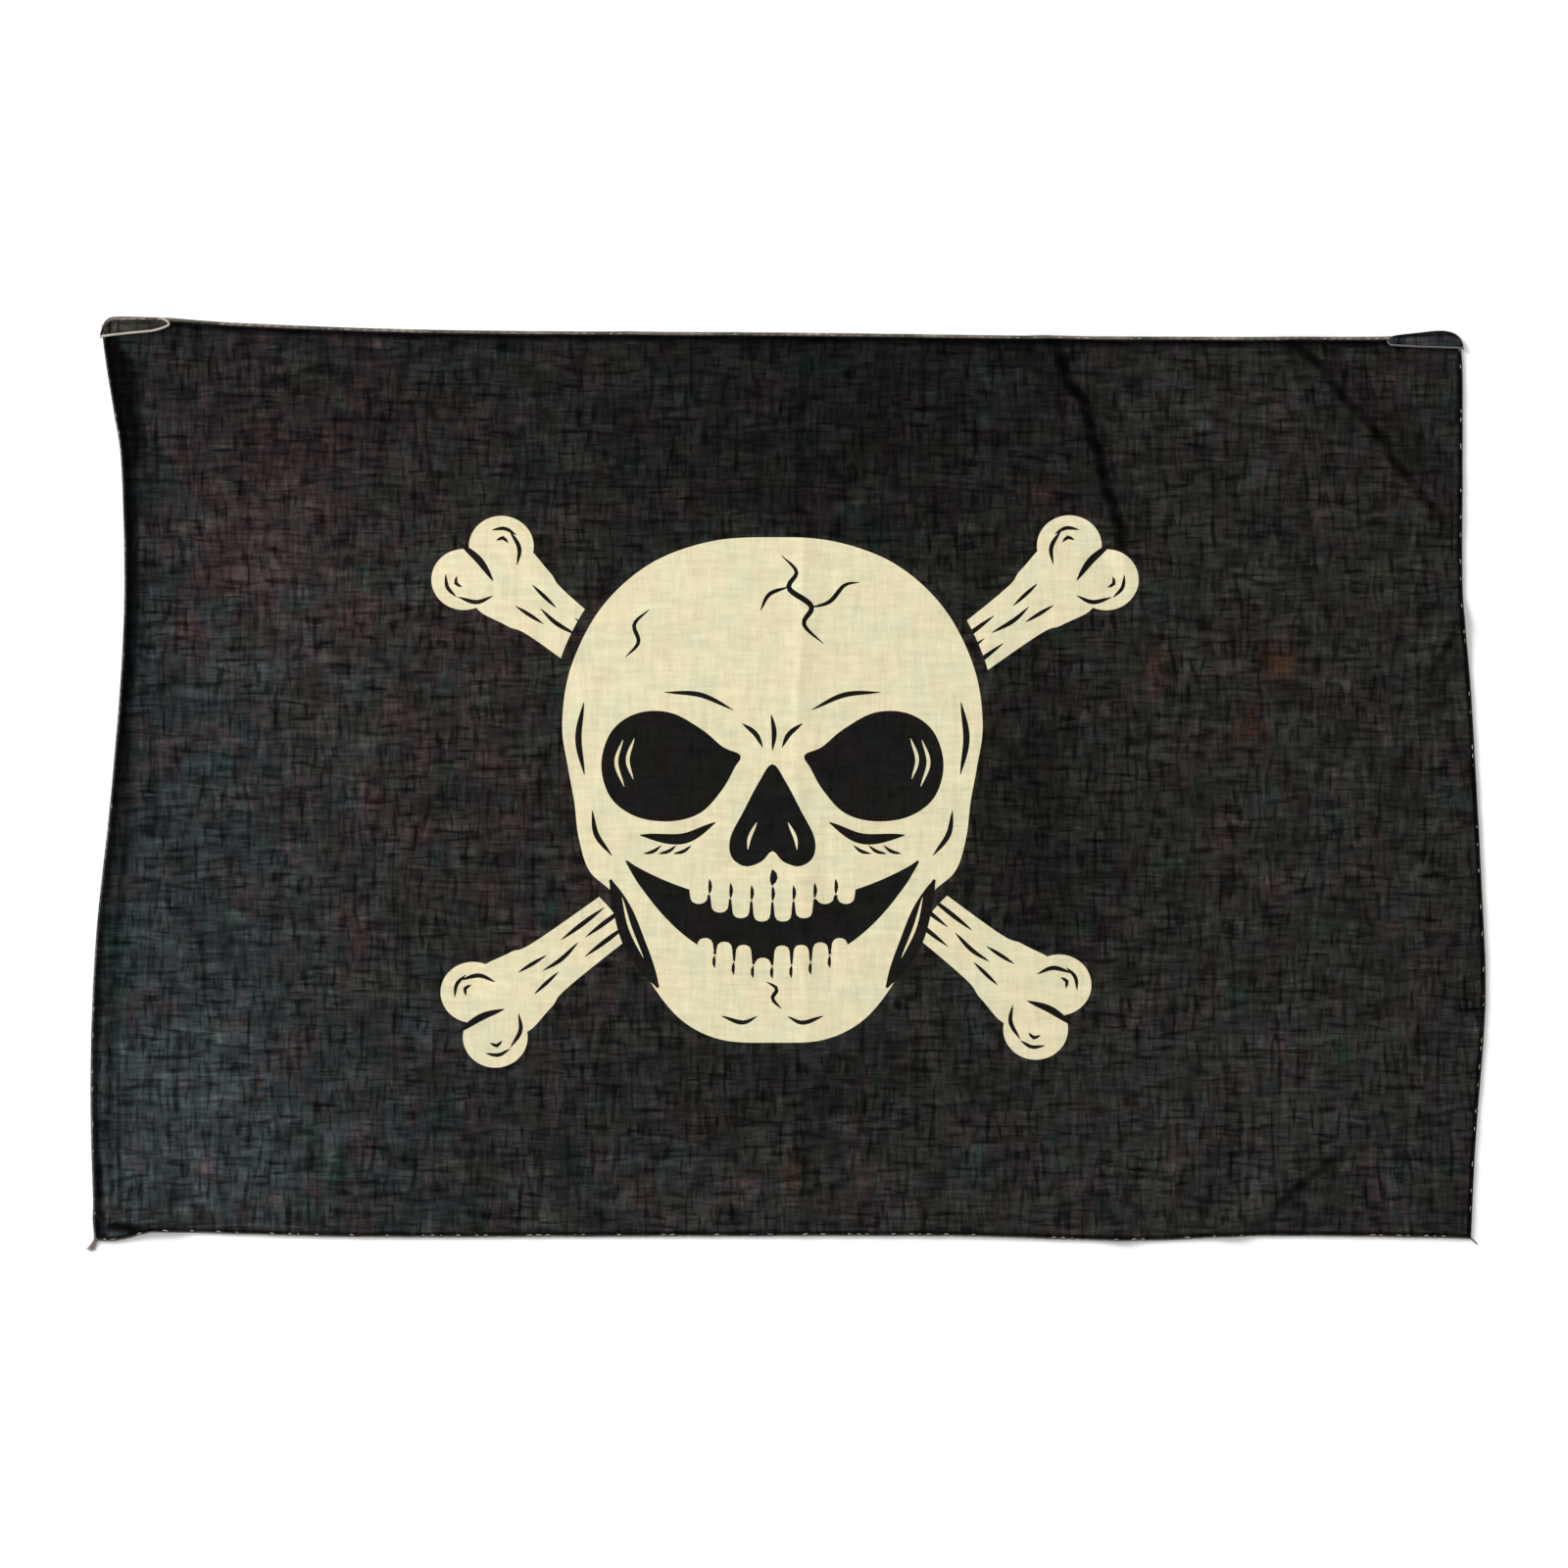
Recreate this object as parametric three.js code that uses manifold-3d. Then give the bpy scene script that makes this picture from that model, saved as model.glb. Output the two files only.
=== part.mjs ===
// A small cotton flag spread flat, face up, on a table. Millimetres, +Z up.
// X runs along the flag's length and Y up its height. The cloth touches the table at Z = 0,
// and the middle of the outline stands over the origin.
//
// The flag is one piece of cloth: a thin sheet with a rolled hem round all four edges, a few
// soft folds that lift it off the table, and two small corner flaps turned over the face.

import * as THREE from 'three';
import Module from 'manifold-3d';

// ---- driving dimensions -------------------------------------------------------------------

const SHEET_THICKNESS = 1.2;
const HEM_THICKNESS = 2.0;
const HEM_WIDTH = 2.5;
const HEM_STEP = 0.8; // how far the hem takes to come down to the sheet
const TURNED_EDGE_EXTRA = 2.4; // the upper left edge is turned under, so its hem is wider
const COLUMNS = 44;
const ROWS = 30;

const FLAP_GAP = 0.4; // air between the hem and the flap that lies on it
const FLAP_THICKNESS = 1.1;
const FOLD_ARC_STEPS = 6;

// Corners of the cloth, and the points its edges pass through on the way round.
const CORNER = {
  bottomLeft: [-230.6, -151.2],
  bottomRight: [226.8, -151.0],
  topRight: [222.8, 147.6],
  topLeft: [-226.6, 152.6],
};
const EDGE = {
  bottom: [[-220, -151.2], [-206, -149.6], [-141, -151], [-37, -150.8], [54, -150.7],
    [113, -152.3], [159, -150.7], [212, -151.2]],
  top: [[-221.5, 155.1], [-207, 155.1], [-181, 153.3], [-115, 151], [0, 150.1], [100, 148.9],
    [198, 148.8], [216.5, 150.1]],
  left: [[-232, -100], [-230.2, -52], [-224.8, 0], [-220.9, 55], [-221.4, 104], [-225.8, 132]],
  right: [[229.2, -118], [232.4, -72], [230.9, -30], [227.6, 30], [224.9, 62], [224.7, 105],
    [224.4, 136]],
};
// The two bottom corners are drawn out to a point, where the hems meet and fray.
const DRAWN_OUT = { bottomLeft: [-2.2, -4.4], bottomRight: [2.4, -2.2] };

// Folds that stand off the table: the line of each crest, its height and its half width.
// The lines that run past the cloth carry the fold out over its hem.
const FOLDS = [
  { name: 'centre crease', crest: [[4, 190], [5, 80], [3, 0], [6, -80], [5, -190]],
    height: 1.3, halfWidth: 13 },
  { name: 'long diagonal', crest: [[70, 182], [84, 150], [97, 129], [108, 104], [114, 78], [117, 52]],
    height: 2.8, halfWidth: 15 },
  { name: 'corner drag', crest: [[150, 156], [170, 146], [183, 135], [199, 119], [212, 100], [222, 76]],
    height: 2.2, halfWidth: 13 },
  { name: 'right nick', crest: [[240, 72], [227, 57], [218, 42], [205, 30]],
    height: 1.8, halfWidth: 11 },
  { name: 'lower right', crest: [[202, -104], [183, -119], [170, -132], [152, -146], [138, -168]],
    height: 2.0, halfWidth: 12 },
  { name: 'upper left swell', crest: [[-206, 126], [-194, 106], [-176, 82], [-158, 58], [-150, 36]],
    height: 2.2, halfWidth: 20 },
  { name: 'top pucker', crest: [[-60, 176], [-52, 148], [-36, 128], [-12, 112]],
    height: 1.4, halfWidth: 12 },
  { name: 'lower left twist', crest: [[-246, -140], [-230, -145], [-216, -146], [-196, -152]],
    height: 2.4, halfWidth: 10 },
  { name: 'bottom pucker', crest: [[112, -176], [110, -150], [100, -134], [84, -124]],
    height: 1.5, halfWidth: 11 },
];
const FOLD_END_TAPER = 0.3; // share of a crest's length over which it rises and dies away

// Corner flaps: across each, the height of its fold line and of its free lower edge.
const FLAPS = [
  { name: 'top left', across: [
    { x: -227.4, fold: 152.6, free: 149.0 },
    { x: -225.0, fold: 154.7, free: 149.3 },
    { x: -221.0, fold: 155.6, free: 149.8 },
    { x: -209.0, fold: 155.5, free: 151.2 },
    { x: -207.2, fold: 155.3, free: 152.3 },
  ] },
  { name: 'top right', across: [
    { x: 200.6, fold: 149.2, free: 146.4 },
    { x: 204.0, fold: 149.6, free: 145.9 },
    { x: 217.0, fold: 150.7, free: 144.9 },
    { x: 221.0, fold: 149.9, free: 144.7 },
    { x: 223.4, fold: 147.6, free: 144.5 },
  ] },
];

// ---- outline ------------------------------------------------------------------------------

function edgeCurve(start, between, end) {
  const points = [start, ...between, end].map(([x, y]) => new THREE.Vector2(x, y));
  return new THREE.SplineCurve(points);
}

const outline = {
  bottom: edgeCurve(CORNER.bottomLeft, EDGE.bottom, CORNER.bottomRight),
  top: edgeCurve(CORNER.topLeft, EDGE.top, CORNER.topRight),
  left: edgeCurve(CORNER.bottomLeft, EDGE.left, CORNER.topLeft),
  right: edgeCurve(CORNER.bottomRight, EDGE.right, CORNER.topRight),
};

// A point of the sheet, u along its length and v up its height, spanned between the four edges.
function sheetPoint(u, v) {
  const bottom = outline.bottom.getPointAt(u);
  const top = outline.top.getPointAt(u);
  const left = outline.left.getPointAt(v);
  const right = outline.right.getPointAt(v);
  const spanned = (axis, i) => {
    const upright = (1 - v) * bottom[axis] + v * top[axis];
    const sideways = (1 - u) * left[axis] + u * right[axis];
    const corners = (1 - u) * (1 - v) * CORNER.bottomLeft[i] + u * (1 - v) * CORNER.bottomRight[i]
      + (1 - u) * v * CORNER.topLeft[i] + u * v * CORNER.topRight[i];
    return upright + sideways - corners;
  };
  return [spanned('x', 0), spanned('y', 1)];
}

// ---- folds --------------------------------------------------------------------------------

// How far a point is from a crest line, and how far along the line its nearest point is, 0 to 1.
function nearestOnCrest(x, y, crest) {
  const point = new THREE.Vector2(x, y);
  const foot = new THREE.Vector2();
  const segments = crest.slice(1).map((end, i) => ({
    start: new THREE.Vector2(...crest[i]),
    end: new THREE.Vector2(...end),
  }));
  const total = segments.reduce((sum, s) => sum + s.start.distanceTo(s.end), 0);
  let best = { distance: Infinity, along: 0 };
  let travelled = 0;
  for (const { start, end } of segments) {
    const length = start.distanceTo(end);
    const share = THREE.MathUtils.clamp(
      point.clone().sub(start).dot(end.clone().sub(start)) / length ** 2, 0, 1);
    foot.lerpVectors(start, end, share);
    const distance = foot.distanceTo(point);
    if (distance < best.distance) best = { distance, along: (travelled + share * length) / total };
    travelled += length;
  }
  return best;
}

// The height of the cloth's underside above the table.
function lift(x, y) {
  let height = 0;
  for (const fold of FOLDS) {
    const { distance, along } = nearestOnCrest(x, y, fold.crest);
    if (distance >= fold.halfWidth) continue;
    const across = 0.5 + 0.5 * Math.cos(Math.PI * distance / fold.halfWidth);
    const taper = THREE.MathUtils.smoothstep(Math.min(along, 1 - along), 0, FOLD_END_TAPER);
    height = Math.max(height, fold.height * across * taper);
  }
  return height;
}

// ---- the sheet ----------------------------------------------------------------------------

// Grid lines across a side: close together at the two hems, evenly spaced between them.
function gridLines(side, cells, hemStart, hemEnd) {
  const first = (hemStart + HEM_STEP) / side;
  const last = 1 - (hemEnd + HEM_STEP) / side;
  const inner = Array.from({ length: cells + 1 }, (_, i) => first + (last - first) * i / cells);
  return [0, hemStart / side, ...inner, 1 - hemEnd / side, 1];
}

function turnedEdge(v) {
  return TURNED_EDGE_EXTRA * THREE.MathUtils.smoothstep(v, 0.4, 0.55);
}

function buildSheet() {
  const width = outline.bottom.getLength();
  const height = outline.left.getLength();
  const rows = gridLines(height, ROWS, HEM_WIDTH, HEM_WIDTH);
  const positions = [];
  const under = [];
  const over = [];
  const lastRow = rows.length - 1;
  let lastColumn = 0;

  rows.forEach((v, j) => {
    const columns = gridLines(width, COLUMNS, HEM_WIDTH + turnedEdge(v), HEM_WIDTH);
    lastColumn = columns.length - 1;
    under.push([]);
    over.push([]);
    columns.forEach((u, i) => {
      let [x, y] = sheetPoint(u, v);
      const drawn = j === 0 && (i === 0 ? DRAWN_OUT.bottomLeft
        : i === lastColumn ? DRAWN_OUT.bottomRight : null);
      if (drawn) {
        x += drawn[0];
        y += drawn[1];
      }
      const inHem = i < 2 || j < 2 || i > lastColumn - 2 || j > lastRow - 2;
      const low = lift(x, y);
      const high = low + (inHem ? HEM_THICKNESS : SHEET_THICKNESS);
      under[j].push(positions.length / 3);
      positions.push(x, y, low);
      over[j].push(positions.length / 3);
      positions.push(x, y, high);
    });
  });

  const triangles = [];
  const quad = (a, b, c, d) => triangles.push(a, b, c, a, c, d);
  for (let j = 0; j < lastRow; j += 1) {
    for (let i = 0; i < lastColumn; i += 1) {
      quad(over[j][i], over[j][i + 1], over[j + 1][i + 1], over[j + 1][i]);
      quad(under[j][i], under[j + 1][i], under[j + 1][i + 1], under[j][i + 1]);
    }
  }
  for (let i = 0; i < lastColumn; i += 1) {
    quad(under[0][i], under[0][i + 1], over[0][i + 1], over[0][i]);
    quad(under[lastRow][i + 1], under[lastRow][i], over[lastRow][i], over[lastRow][i + 1]);
  }
  for (let j = 0; j < lastRow; j += 1) {
    quad(under[j + 1][0], under[j][0], over[j][0], over[j + 1][0]);
    quad(under[j][lastColumn], under[j + 1][lastColumn], over[j + 1][lastColumn], over[j][lastColumn]);
  }
  return { positions, triangles };
}

// ---- the corner flaps ---------------------------------------------------------------------

// One section of a flap, in Y and Z: the hem below, the bend round the fold line, the free edge.
function flapSection({ fold, free }) {
  const innerRadius = FLAP_GAP / 2;
  const outerRadius = (HEM_THICKNESS + FLAP_GAP + FLAP_THICKNESS) / 2;
  const innerCentre = HEM_THICKNESS + innerRadius;
  const bend = fold - outerRadius;
  const section = [[free, 0]];
  for (let i = 0; i <= FOLD_ARC_STEPS; i += 1) {
    const angle = -Math.PI / 2 + Math.PI * i / FOLD_ARC_STEPS;
    section.push([bend + outerRadius * Math.cos(angle), outerRadius * (1 + Math.sin(angle))]);
  }
  section.push([free, 2 * outerRadius], [free, HEM_THICKNESS + FLAP_GAP]);
  for (let i = FOLD_ARC_STEPS; i >= 0; i -= 1) {
    const angle = -Math.PI / 2 + Math.PI * i / FOLD_ARC_STEPS;
    section.push([bend + innerRadius * Math.cos(angle), innerCentre + innerRadius * Math.sin(angle)]);
  }
  section.push([free, HEM_THICKNESS]);
  return section;
}

function buildFlap({ across }) {
  const sections = across.map(flapSection);
  const count = sections[0].length;
  const positions = [];
  sections.forEach((section, s) => {
    const raised = lift(across[s].x, across[s].fold);
    for (const [y, z] of section) positions.push(across[s].x, y, z + raised);
  });
  const triangles = [];
  for (let s = 0; s < sections.length - 1; s += 1) {
    for (let k = 0; k < count; k += 1) {
      const a = s * count + k;
      const b = s * count + (k + 1) % count;
      triangles.push(a, b, b + count, a, b + count, a + count);
    }
  }
  const cap = (s) => {
    const contour = sections[s].map(([y, z]) => new THREE.Vector2(y, z));
    return THREE.ShapeUtils.triangulateShape(contour, []).map((face) => face.map((k) => s * count + k));
  };
  for (const [a, b, c] of cap(0)) triangles.push(a, c, b);
  for (const [a, b, c] of cap(sections.length - 1)) triangles.push(a, b, c);
  return { positions, triangles };
}

// ---- joining ------------------------------------------------------------------------------

const wasm = await Module();
wasm.setup();

function toSolid({ positions, triangles }) {
  return new wasm.Manifold(new wasm.Mesh({
    numProp: 3,
    vertProperties: new Float32Array(positions),
    triVerts: new Uint32Array(triangles),
  }));
}

function toGeometry(solid) {
  const mesh = solid.getMesh();
  const geometry = new THREE.BufferGeometry();
  geometry.setAttribute('position', new THREE.BufferAttribute(new Float32Array(mesh.vertProperties), 3));
  geometry.setIndex(new THREE.BufferAttribute(new Uint32Array(mesh.triVerts), 1));
  return geometry;
}

function buildFlagCloth() {
  let solid = toSolid(buildSheet());
  for (const flap of FLAPS) solid = solid.add(toSolid(buildFlap(flap)));
  const geometry = toGeometry(solid);
  geometry.computeBoundingBox();
  const middle = geometry.boundingBox.getCenter(new THREE.Vector3());
  geometry.translate(-middle.x, -middle.y, -geometry.boundingBox.min.z);
  geometry.computeVertexNormals();
  return geometry;
}

const blackMuslin = new THREE.MeshStandardMaterial({ color: 0x1f1e1d, roughness: 0.95, metalness: 0 });

const flag = new THREE.Group();
const cloth = new THREE.Mesh(buildFlagCloth(), blackMuslin);
cloth.name = 'flag_cloth';
flag.add(cloth);

export default flag;
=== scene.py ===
# %% [markdown]
# # A cotton flag lying flat
#
# This lesson dresses a small printed flag. The solid under it is already made: one thin sheet
# with a rolled hem, a few soft folds and two turned corners. It carries the size, the weight
# and the place. What it does not carry is cloth: thread, print, stitches and wear.
#
# Everything is in metres in the file, but a flag is easier to think about in millimetres, so
# the cells below plan in millimetres and multiply by MM at the very end.

# %% Load the solid
import math

import bmesh
import bpy
import numpy as np
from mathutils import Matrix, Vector, kdtree
from mathutils.geometry import delaunay_2d_cdt


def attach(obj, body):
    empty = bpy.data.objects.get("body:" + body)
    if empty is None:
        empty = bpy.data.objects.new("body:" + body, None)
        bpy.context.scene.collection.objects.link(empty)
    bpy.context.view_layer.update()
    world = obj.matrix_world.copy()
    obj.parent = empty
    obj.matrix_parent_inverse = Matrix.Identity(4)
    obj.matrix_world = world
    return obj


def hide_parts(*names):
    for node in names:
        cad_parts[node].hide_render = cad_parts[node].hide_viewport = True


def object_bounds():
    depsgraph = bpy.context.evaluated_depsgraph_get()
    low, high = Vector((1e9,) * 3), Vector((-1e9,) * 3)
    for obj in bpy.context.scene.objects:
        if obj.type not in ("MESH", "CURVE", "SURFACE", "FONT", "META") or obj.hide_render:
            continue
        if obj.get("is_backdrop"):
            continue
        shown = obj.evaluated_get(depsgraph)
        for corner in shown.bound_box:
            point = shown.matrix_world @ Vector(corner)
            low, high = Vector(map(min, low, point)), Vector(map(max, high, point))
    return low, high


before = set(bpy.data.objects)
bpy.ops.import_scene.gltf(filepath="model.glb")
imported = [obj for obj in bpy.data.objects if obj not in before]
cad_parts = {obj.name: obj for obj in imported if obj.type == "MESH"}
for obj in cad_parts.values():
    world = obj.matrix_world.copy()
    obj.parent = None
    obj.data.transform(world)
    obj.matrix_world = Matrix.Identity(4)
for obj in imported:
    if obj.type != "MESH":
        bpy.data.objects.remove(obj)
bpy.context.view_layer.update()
MM = 0.001

# %% [markdown]
# ## Smooth lines through a few points
#
# Nearly everything on a flag follows a line: the cut edge, a crease, an inked outline, a loose
# thread. A spline that passes through given points is the natural tool, because the
# points can be read off a drawing and moved one at a time. Blender's curve objects could do it,
# but here the line is needed as plain numbers, so a short Catmull-Rom spline does the job and
# then spaces its points evenly.

# %% A line helper
def smooth_curve(points, step, closed=False):
    """Points about one step apart on a smooth line through the given points."""
    p = np.array(points, float)
    if closed:
        p = np.vstack([p[-1:], p, p[:2]])
    else:
        p = np.vstack([2 * p[:1] - p[1:2], p, 2 * p[-1:] - p[-2:-1]])
    t = np.linspace(0, 1, 24, endpoint=False)[:, None]
    runs = []
    for a, b, c, d in zip(p, p[1:], p[2:], p[3:]):
        run = 2 * b + (c - a) * t + (2 * a - 5 * b + 4 * c - d) * t**2
        runs.append(0.5 * (run + (3 * b - a - 3 * c + d) * t**3))
    line = np.vstack(runs + [p[-2:-1]])
    along = np.concatenate([[0], np.cumsum(np.linalg.norm(np.diff(line, axis=0), axis=1))])
    count = max(3, round(along[-1] / step))
    stations = np.linspace(0, along[-1], count + 1)
    even = np.column_stack([np.interp(stations, along, column) for column in line.T])
    return even[:-1] if closed else even


def left_of(line):
    """An arrow one long at each point of a line, at right angles to it, to its left."""
    run = np.gradient(line, axis=0)
    run /= np.linalg.norm(run, axis=1)[:, None]
    return np.column_stack([-run[:, 1], run[:, 0]])


def soft_step(low, high, value):
    """0 below low, 1 above high, and a smooth ramp between."""
    t = np.clip((value - low) / (high - low), 0, 1)
    return t * t * (3 - 2 * t)


print("an arc 10 wide, in steps of 1:", len(smooth_curve([(0, 0), (5, 2), (10, 0)], 1)), "points")

# %% [markdown]
# ## The outline of the cloth
#
# A flag this size is cut as a rectangle, 18 by 12 inches, and then pulled slightly out of true
# by washing and by its own hem. Each side is a gently wavy line between two corners. A Coons
# patch fills in the middle: it slides the four sides across the cloth and blends them, so a
# place on the cloth can be given as a share of its length and of its height.

# %% The four sides
FLAT_LENGTH = 457.0
FLAT_HEIGHT = 305.0
BOTTOM_LEFT, BOTTOM_RIGHT = (-230.8, -152.2), (227.6, -151.6)
TOP_LEFT, TOP_RIGHT = (-228.4, 152.4), (223.9, 147.4)
SIDES = {
    "bottom": [BOTTOM_LEFT, (-224, -152.3), (-219, -151.3), (-213, -149.8), (-204, -149.4),
               (-141, -151), (-37, -150.8), (54, -150.7), (113, -152.3), (159, -150.7),
               (212, -151.2), BOTTOM_RIGHT],
    "top": [TOP_LEFT, (-225.4, 155.0), (-220.5, 155.3), (-207, 155.1), (-181, 153.3),
            (-115, 151), (0, 150.1), (100, 148.9), (198, 148.8), (216.5, 150.1), TOP_RIGHT],
    "left": [BOTTOM_LEFT, (-232, -100), (-230.2, -52), (-224.8, 0), (-220.9, 55),
             (-221.6, 104), (-224.3, 124), (-227.2, 142), TOP_LEFT],
    "right": [BOTTOM_RIGHT, (229.2, -118), (232.4, -72), (230.9, -30), (227.6, 30),
              (224.9, 62), (224.8, 105), (224.8, 137), TOP_RIGHT],
}
side_lines = {name: smooth_curve(points, 0.5) for name, points in SIDES.items()}


def on_side(name, share):
    """The point at a share, 0 to 1, of the way along one side."""
    line = side_lines[name]
    stations = np.linspace(0, 1, len(line))
    return np.column_stack([np.interp(share, stations, line[:, i]) for i in (0, 1)])


def on_cloth(across, up):
    """The place on the table of a point at these shares of the cloth's length and height."""
    u, v = across[:, None], up[:, None]
    between_ends = (1 - v) * on_side("bottom", across) + v * on_side("top", across)
    between_sides = (1 - u) * on_side("left", up) + u * on_side("right", up)
    corners = (1 - u) * (1 - v) * np.array(BOTTOM_LEFT) + u * (1 - v) * np.array(BOTTOM_RIGHT)
    corners += (1 - u) * v * np.array(TOP_LEFT) + u * v * np.array(TOP_RIGHT)
    return between_ends + between_sides - corners


print("sides:", {name: len(line) for name, line in side_lines.items()}, "points")

# %% [markdown]
# ### Places told from the edge
#
# The hem, its stitches and its wear all follow the edge. So two questions come up again and
# again: how far in from the edge is a place, and how far round? A ring is a line that keeps one
# distance from the edge. Blender's k-d tree finds the nearest of many points quickly, and
# answers both questions from the outermost ring.

# %% Rings that run round the cloth at a set distance from its edge
def ring(inset, spacing):
    """A closed line round the cloth, this far in from its edge."""
    near_u, near_v = inset / FLAT_LENGTH, inset / FLAT_HEIGHT
    long_run = np.linspace(near_u, 1 - near_u, round(FLAT_LENGTH / spacing) + 1)
    short_run = np.linspace(near_v, 1 - near_v, round(FLAT_HEIGHT / spacing) + 1)
    across = np.concatenate([long_run[:-1], np.full(len(short_run) - 1, 1 - near_u),
                             long_run[:0:-1], np.full(len(short_run) - 1, near_u)])
    up = np.concatenate([np.full(len(long_run) - 1, near_v), short_run[:-1],
                         np.full(len(long_run) - 1, 1 - near_v), short_run[:0:-1]])
    return on_cloth(across, up)


def tree_of(some):
    """A k-d tree that finds the nearest of some points."""
    tree = kdtree.KDTree(len(some))
    for index, (x, y) in enumerate(some):
        tree.insert((x, y, 0), index)
    tree.balance()
    return tree


edge_line = ring(0, 0.5)
edge_steps = np.linalg.norm(np.roll(edge_line, -1, axis=0) - edge_line, axis=1)
edge_run = np.concatenate([[0], np.cumsum(edge_steps)[:-1]])
edge_tree = tree_of(edge_line)


def near_edge(xy):
    """How far each point is from the edge, and how far round the edge its nearest point is."""
    found = [edge_tree.find((x, y, 0)) for x, y in xy]
    return np.array([f[2] for f in found]), edge_run[[f[1] for f in found]]


print("edge, mm:", round(float(edge_steps.sum())), "of", 2 * (FLAT_LENGTH + FLAT_HEIGHT))

# %% [markdown]
# ## The print: a plain skull and crossbones
#
# The cloth is dyed black round an undyed cream motif. Skull and crossbones is as old and as
# common as a motif gets, and this one is drawn from scratch with ordinary shapes: a dome, two
# slanted sockets, an upside-down heart for the nose and a grin with square teeth. It could be
# painted on with an image, but an image blurs when it is enlarged and has to be carried about
# with the file. Here each inked shape is a closed outline that is cut into the mesh itself, so
# its edge stays crisp at any distance.
#
# The shapes are kept in painting order. Where two overlap, the later one wins, just as it would
# with paper cut-outs.

# %% The pen
CREAM, INK, GROUND = 1, 0, 2
PRINT_STEP = 1.3
SKULL_MIDDLE = np.array([-5.0, 0.0])
drawing = []


def shape(tone, points, smooth=True):
    """One filled shape of the print, given round the middle of the skull."""
    outline = smooth_curve(points, PRINT_STEP, closed=True) if smooth else np.array(points, float)
    twice_area = np.sum(outline[:, 0] * np.roll(outline[:, 1], -1)
                        - outline[:, 1] * np.roll(outline[:, 0], -1))
    outline = outline if twice_area > 0 else outline[::-1]
    drawing.append((tone, outline + SKULL_MIDDLE))


def stroke(tone, points, width):
    """A brush stroke along the points, fine at both ends."""
    line = smooth_curve(points, PRINT_STEP)
    along = np.linspace(0, 1, len(line))
    swell = np.maximum(np.sin(np.pi * along) ** 0.7, 0.12)
    beside = left_of(line) * (width / 2 * swell)[:, None]
    shape(tone, np.vstack([line + beside, (line - beside)[::-1]]), smooth=False)


def both(points):
    """The same points on the right and on the left of the middle line."""
    return [points, [(-x, y) for x, y in points]]


print("pen: a point every", PRINT_STEP, "mm")

# %% [markdown]
# ### The crossbones
#
# Two long bones cross behind the skull. Seen from the side, a long bone is a waisted shaft with
# two round lobes at either end. Both bones are the same drawing between different end points,
# so one function makes them. The short inked strokes turn a flat cream patch into a bone: a
# notch between the lobes, a rim under them, and a few dry brush marks along the shaft.

# %% The lobes at the end of a bone
LOBE_RADIUS = 10.8
LOBE_APART = 8.2


def bone_lobes(tip, inward, left):
    """Two round lobes with hatching, and the notch between them."""
    turn = np.linspace(0, 2 * np.pi, 20, endpoint=False)
    lobe = np.column_stack([np.cos(turn), np.sin(turn) * 0.94]) * LOBE_RADIUS
    for side, reach in ((1, 4.0), (-1, 1.0)):
        middle = tip + inward * reach + left * side * LOBE_APART
        shape(CREAM, middle + lobe)
        outer = left * side - inward * 0.5
        across = np.array([-outer[1], outer[0]])
        for reach_in in (5.4, 2.6):
            hatch = [middle + outer * (reach_in - 1.2 * abs(bend)) + across * bend * reach_in * 0.7
                     for bend in (-1, 0, 1)]
            stroke(INK, hatch, 1.3)
    notch = [tip - inward * 8 + left * 0.5, tip + inward * 1, tip + inward * 9 - left * 2.5]
    stroke(INK, notch, 2.4)


def bone_marks(tip, inward, left):
    """The strokes from the lobes' rim down to the middle of the shaft."""
    for side in (1, -1):
        rim = [tip + inward * 3 + left * side * 14, tip + inward * 9 + left * side * 11.5,
               tip + inward * 12 + left * side * 6.5]
        stroke(INK, rim, 1.5)
        grain = [tip + inward * 20 + left * side * 4.5, tip + inward * 31 + left * side * 3.4]
        stroke(INK, [grain[0], (grain[0] + grain[1]) / 2, grain[1]], 1.3)
    worn = [tip + inward * 27, tip + inward * 34 - left * 0.6, tip + inward * 42 + left * 0.5]
    stroke(INK, worn, 1.5)
    for side, start_at in ((1, 38), (0.1, 45), (-1, 41)):
        hatch = tip + left * side * 4.6
        stroke(INK, [hatch + inward * (start_at + run) for run in (0, 9, 18)], 1.6)


print("a lobe:", 2 * LOBE_RADIUS, "mm wide")

# %% Two crossed bones
def bone(start, end):
    """A long bone: a waisted shaft with two lobes at either end."""
    start, end = np.array(start, float), np.array(end, float)
    length = np.linalg.norm(end - start)
    forward = (end - start) / length
    left = np.array([-forward[1], forward[0]])
    half_widths = [(2, 6.0), (10, 13.0), (22, 11.4), (38, 9.0), (length / 2, 7.6)]
    half_widths += [(length - a, half) for a, half in half_widths[-2::-1]]
    upper = [start + forward * a + left * half for a, half in half_widths]
    lower = [start + forward * a - left * half for a, half in reversed(half_widths)]
    shape(CREAM, upper + lower)
    for tip, inward in ((start, forward), (end, -forward)):
        bone_lobes(tip, inward, left)
        bone_marks(tip, inward, left)


bone((-98.0, -78.5), (107.0, 75.0))
bone((-98.5, 75.0), (93.5, -76.0))
print("bones:", len(drawing), "shapes")

# %% [markdown]
# ### The skull
#
# The skull stands in front of the bones with a dark gap round it, as a printer would leave so
# that the two do not run together. That gap is the skull's own outline, let out a few
# millimetres and laid down as bare ground before the skull goes on top.

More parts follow.
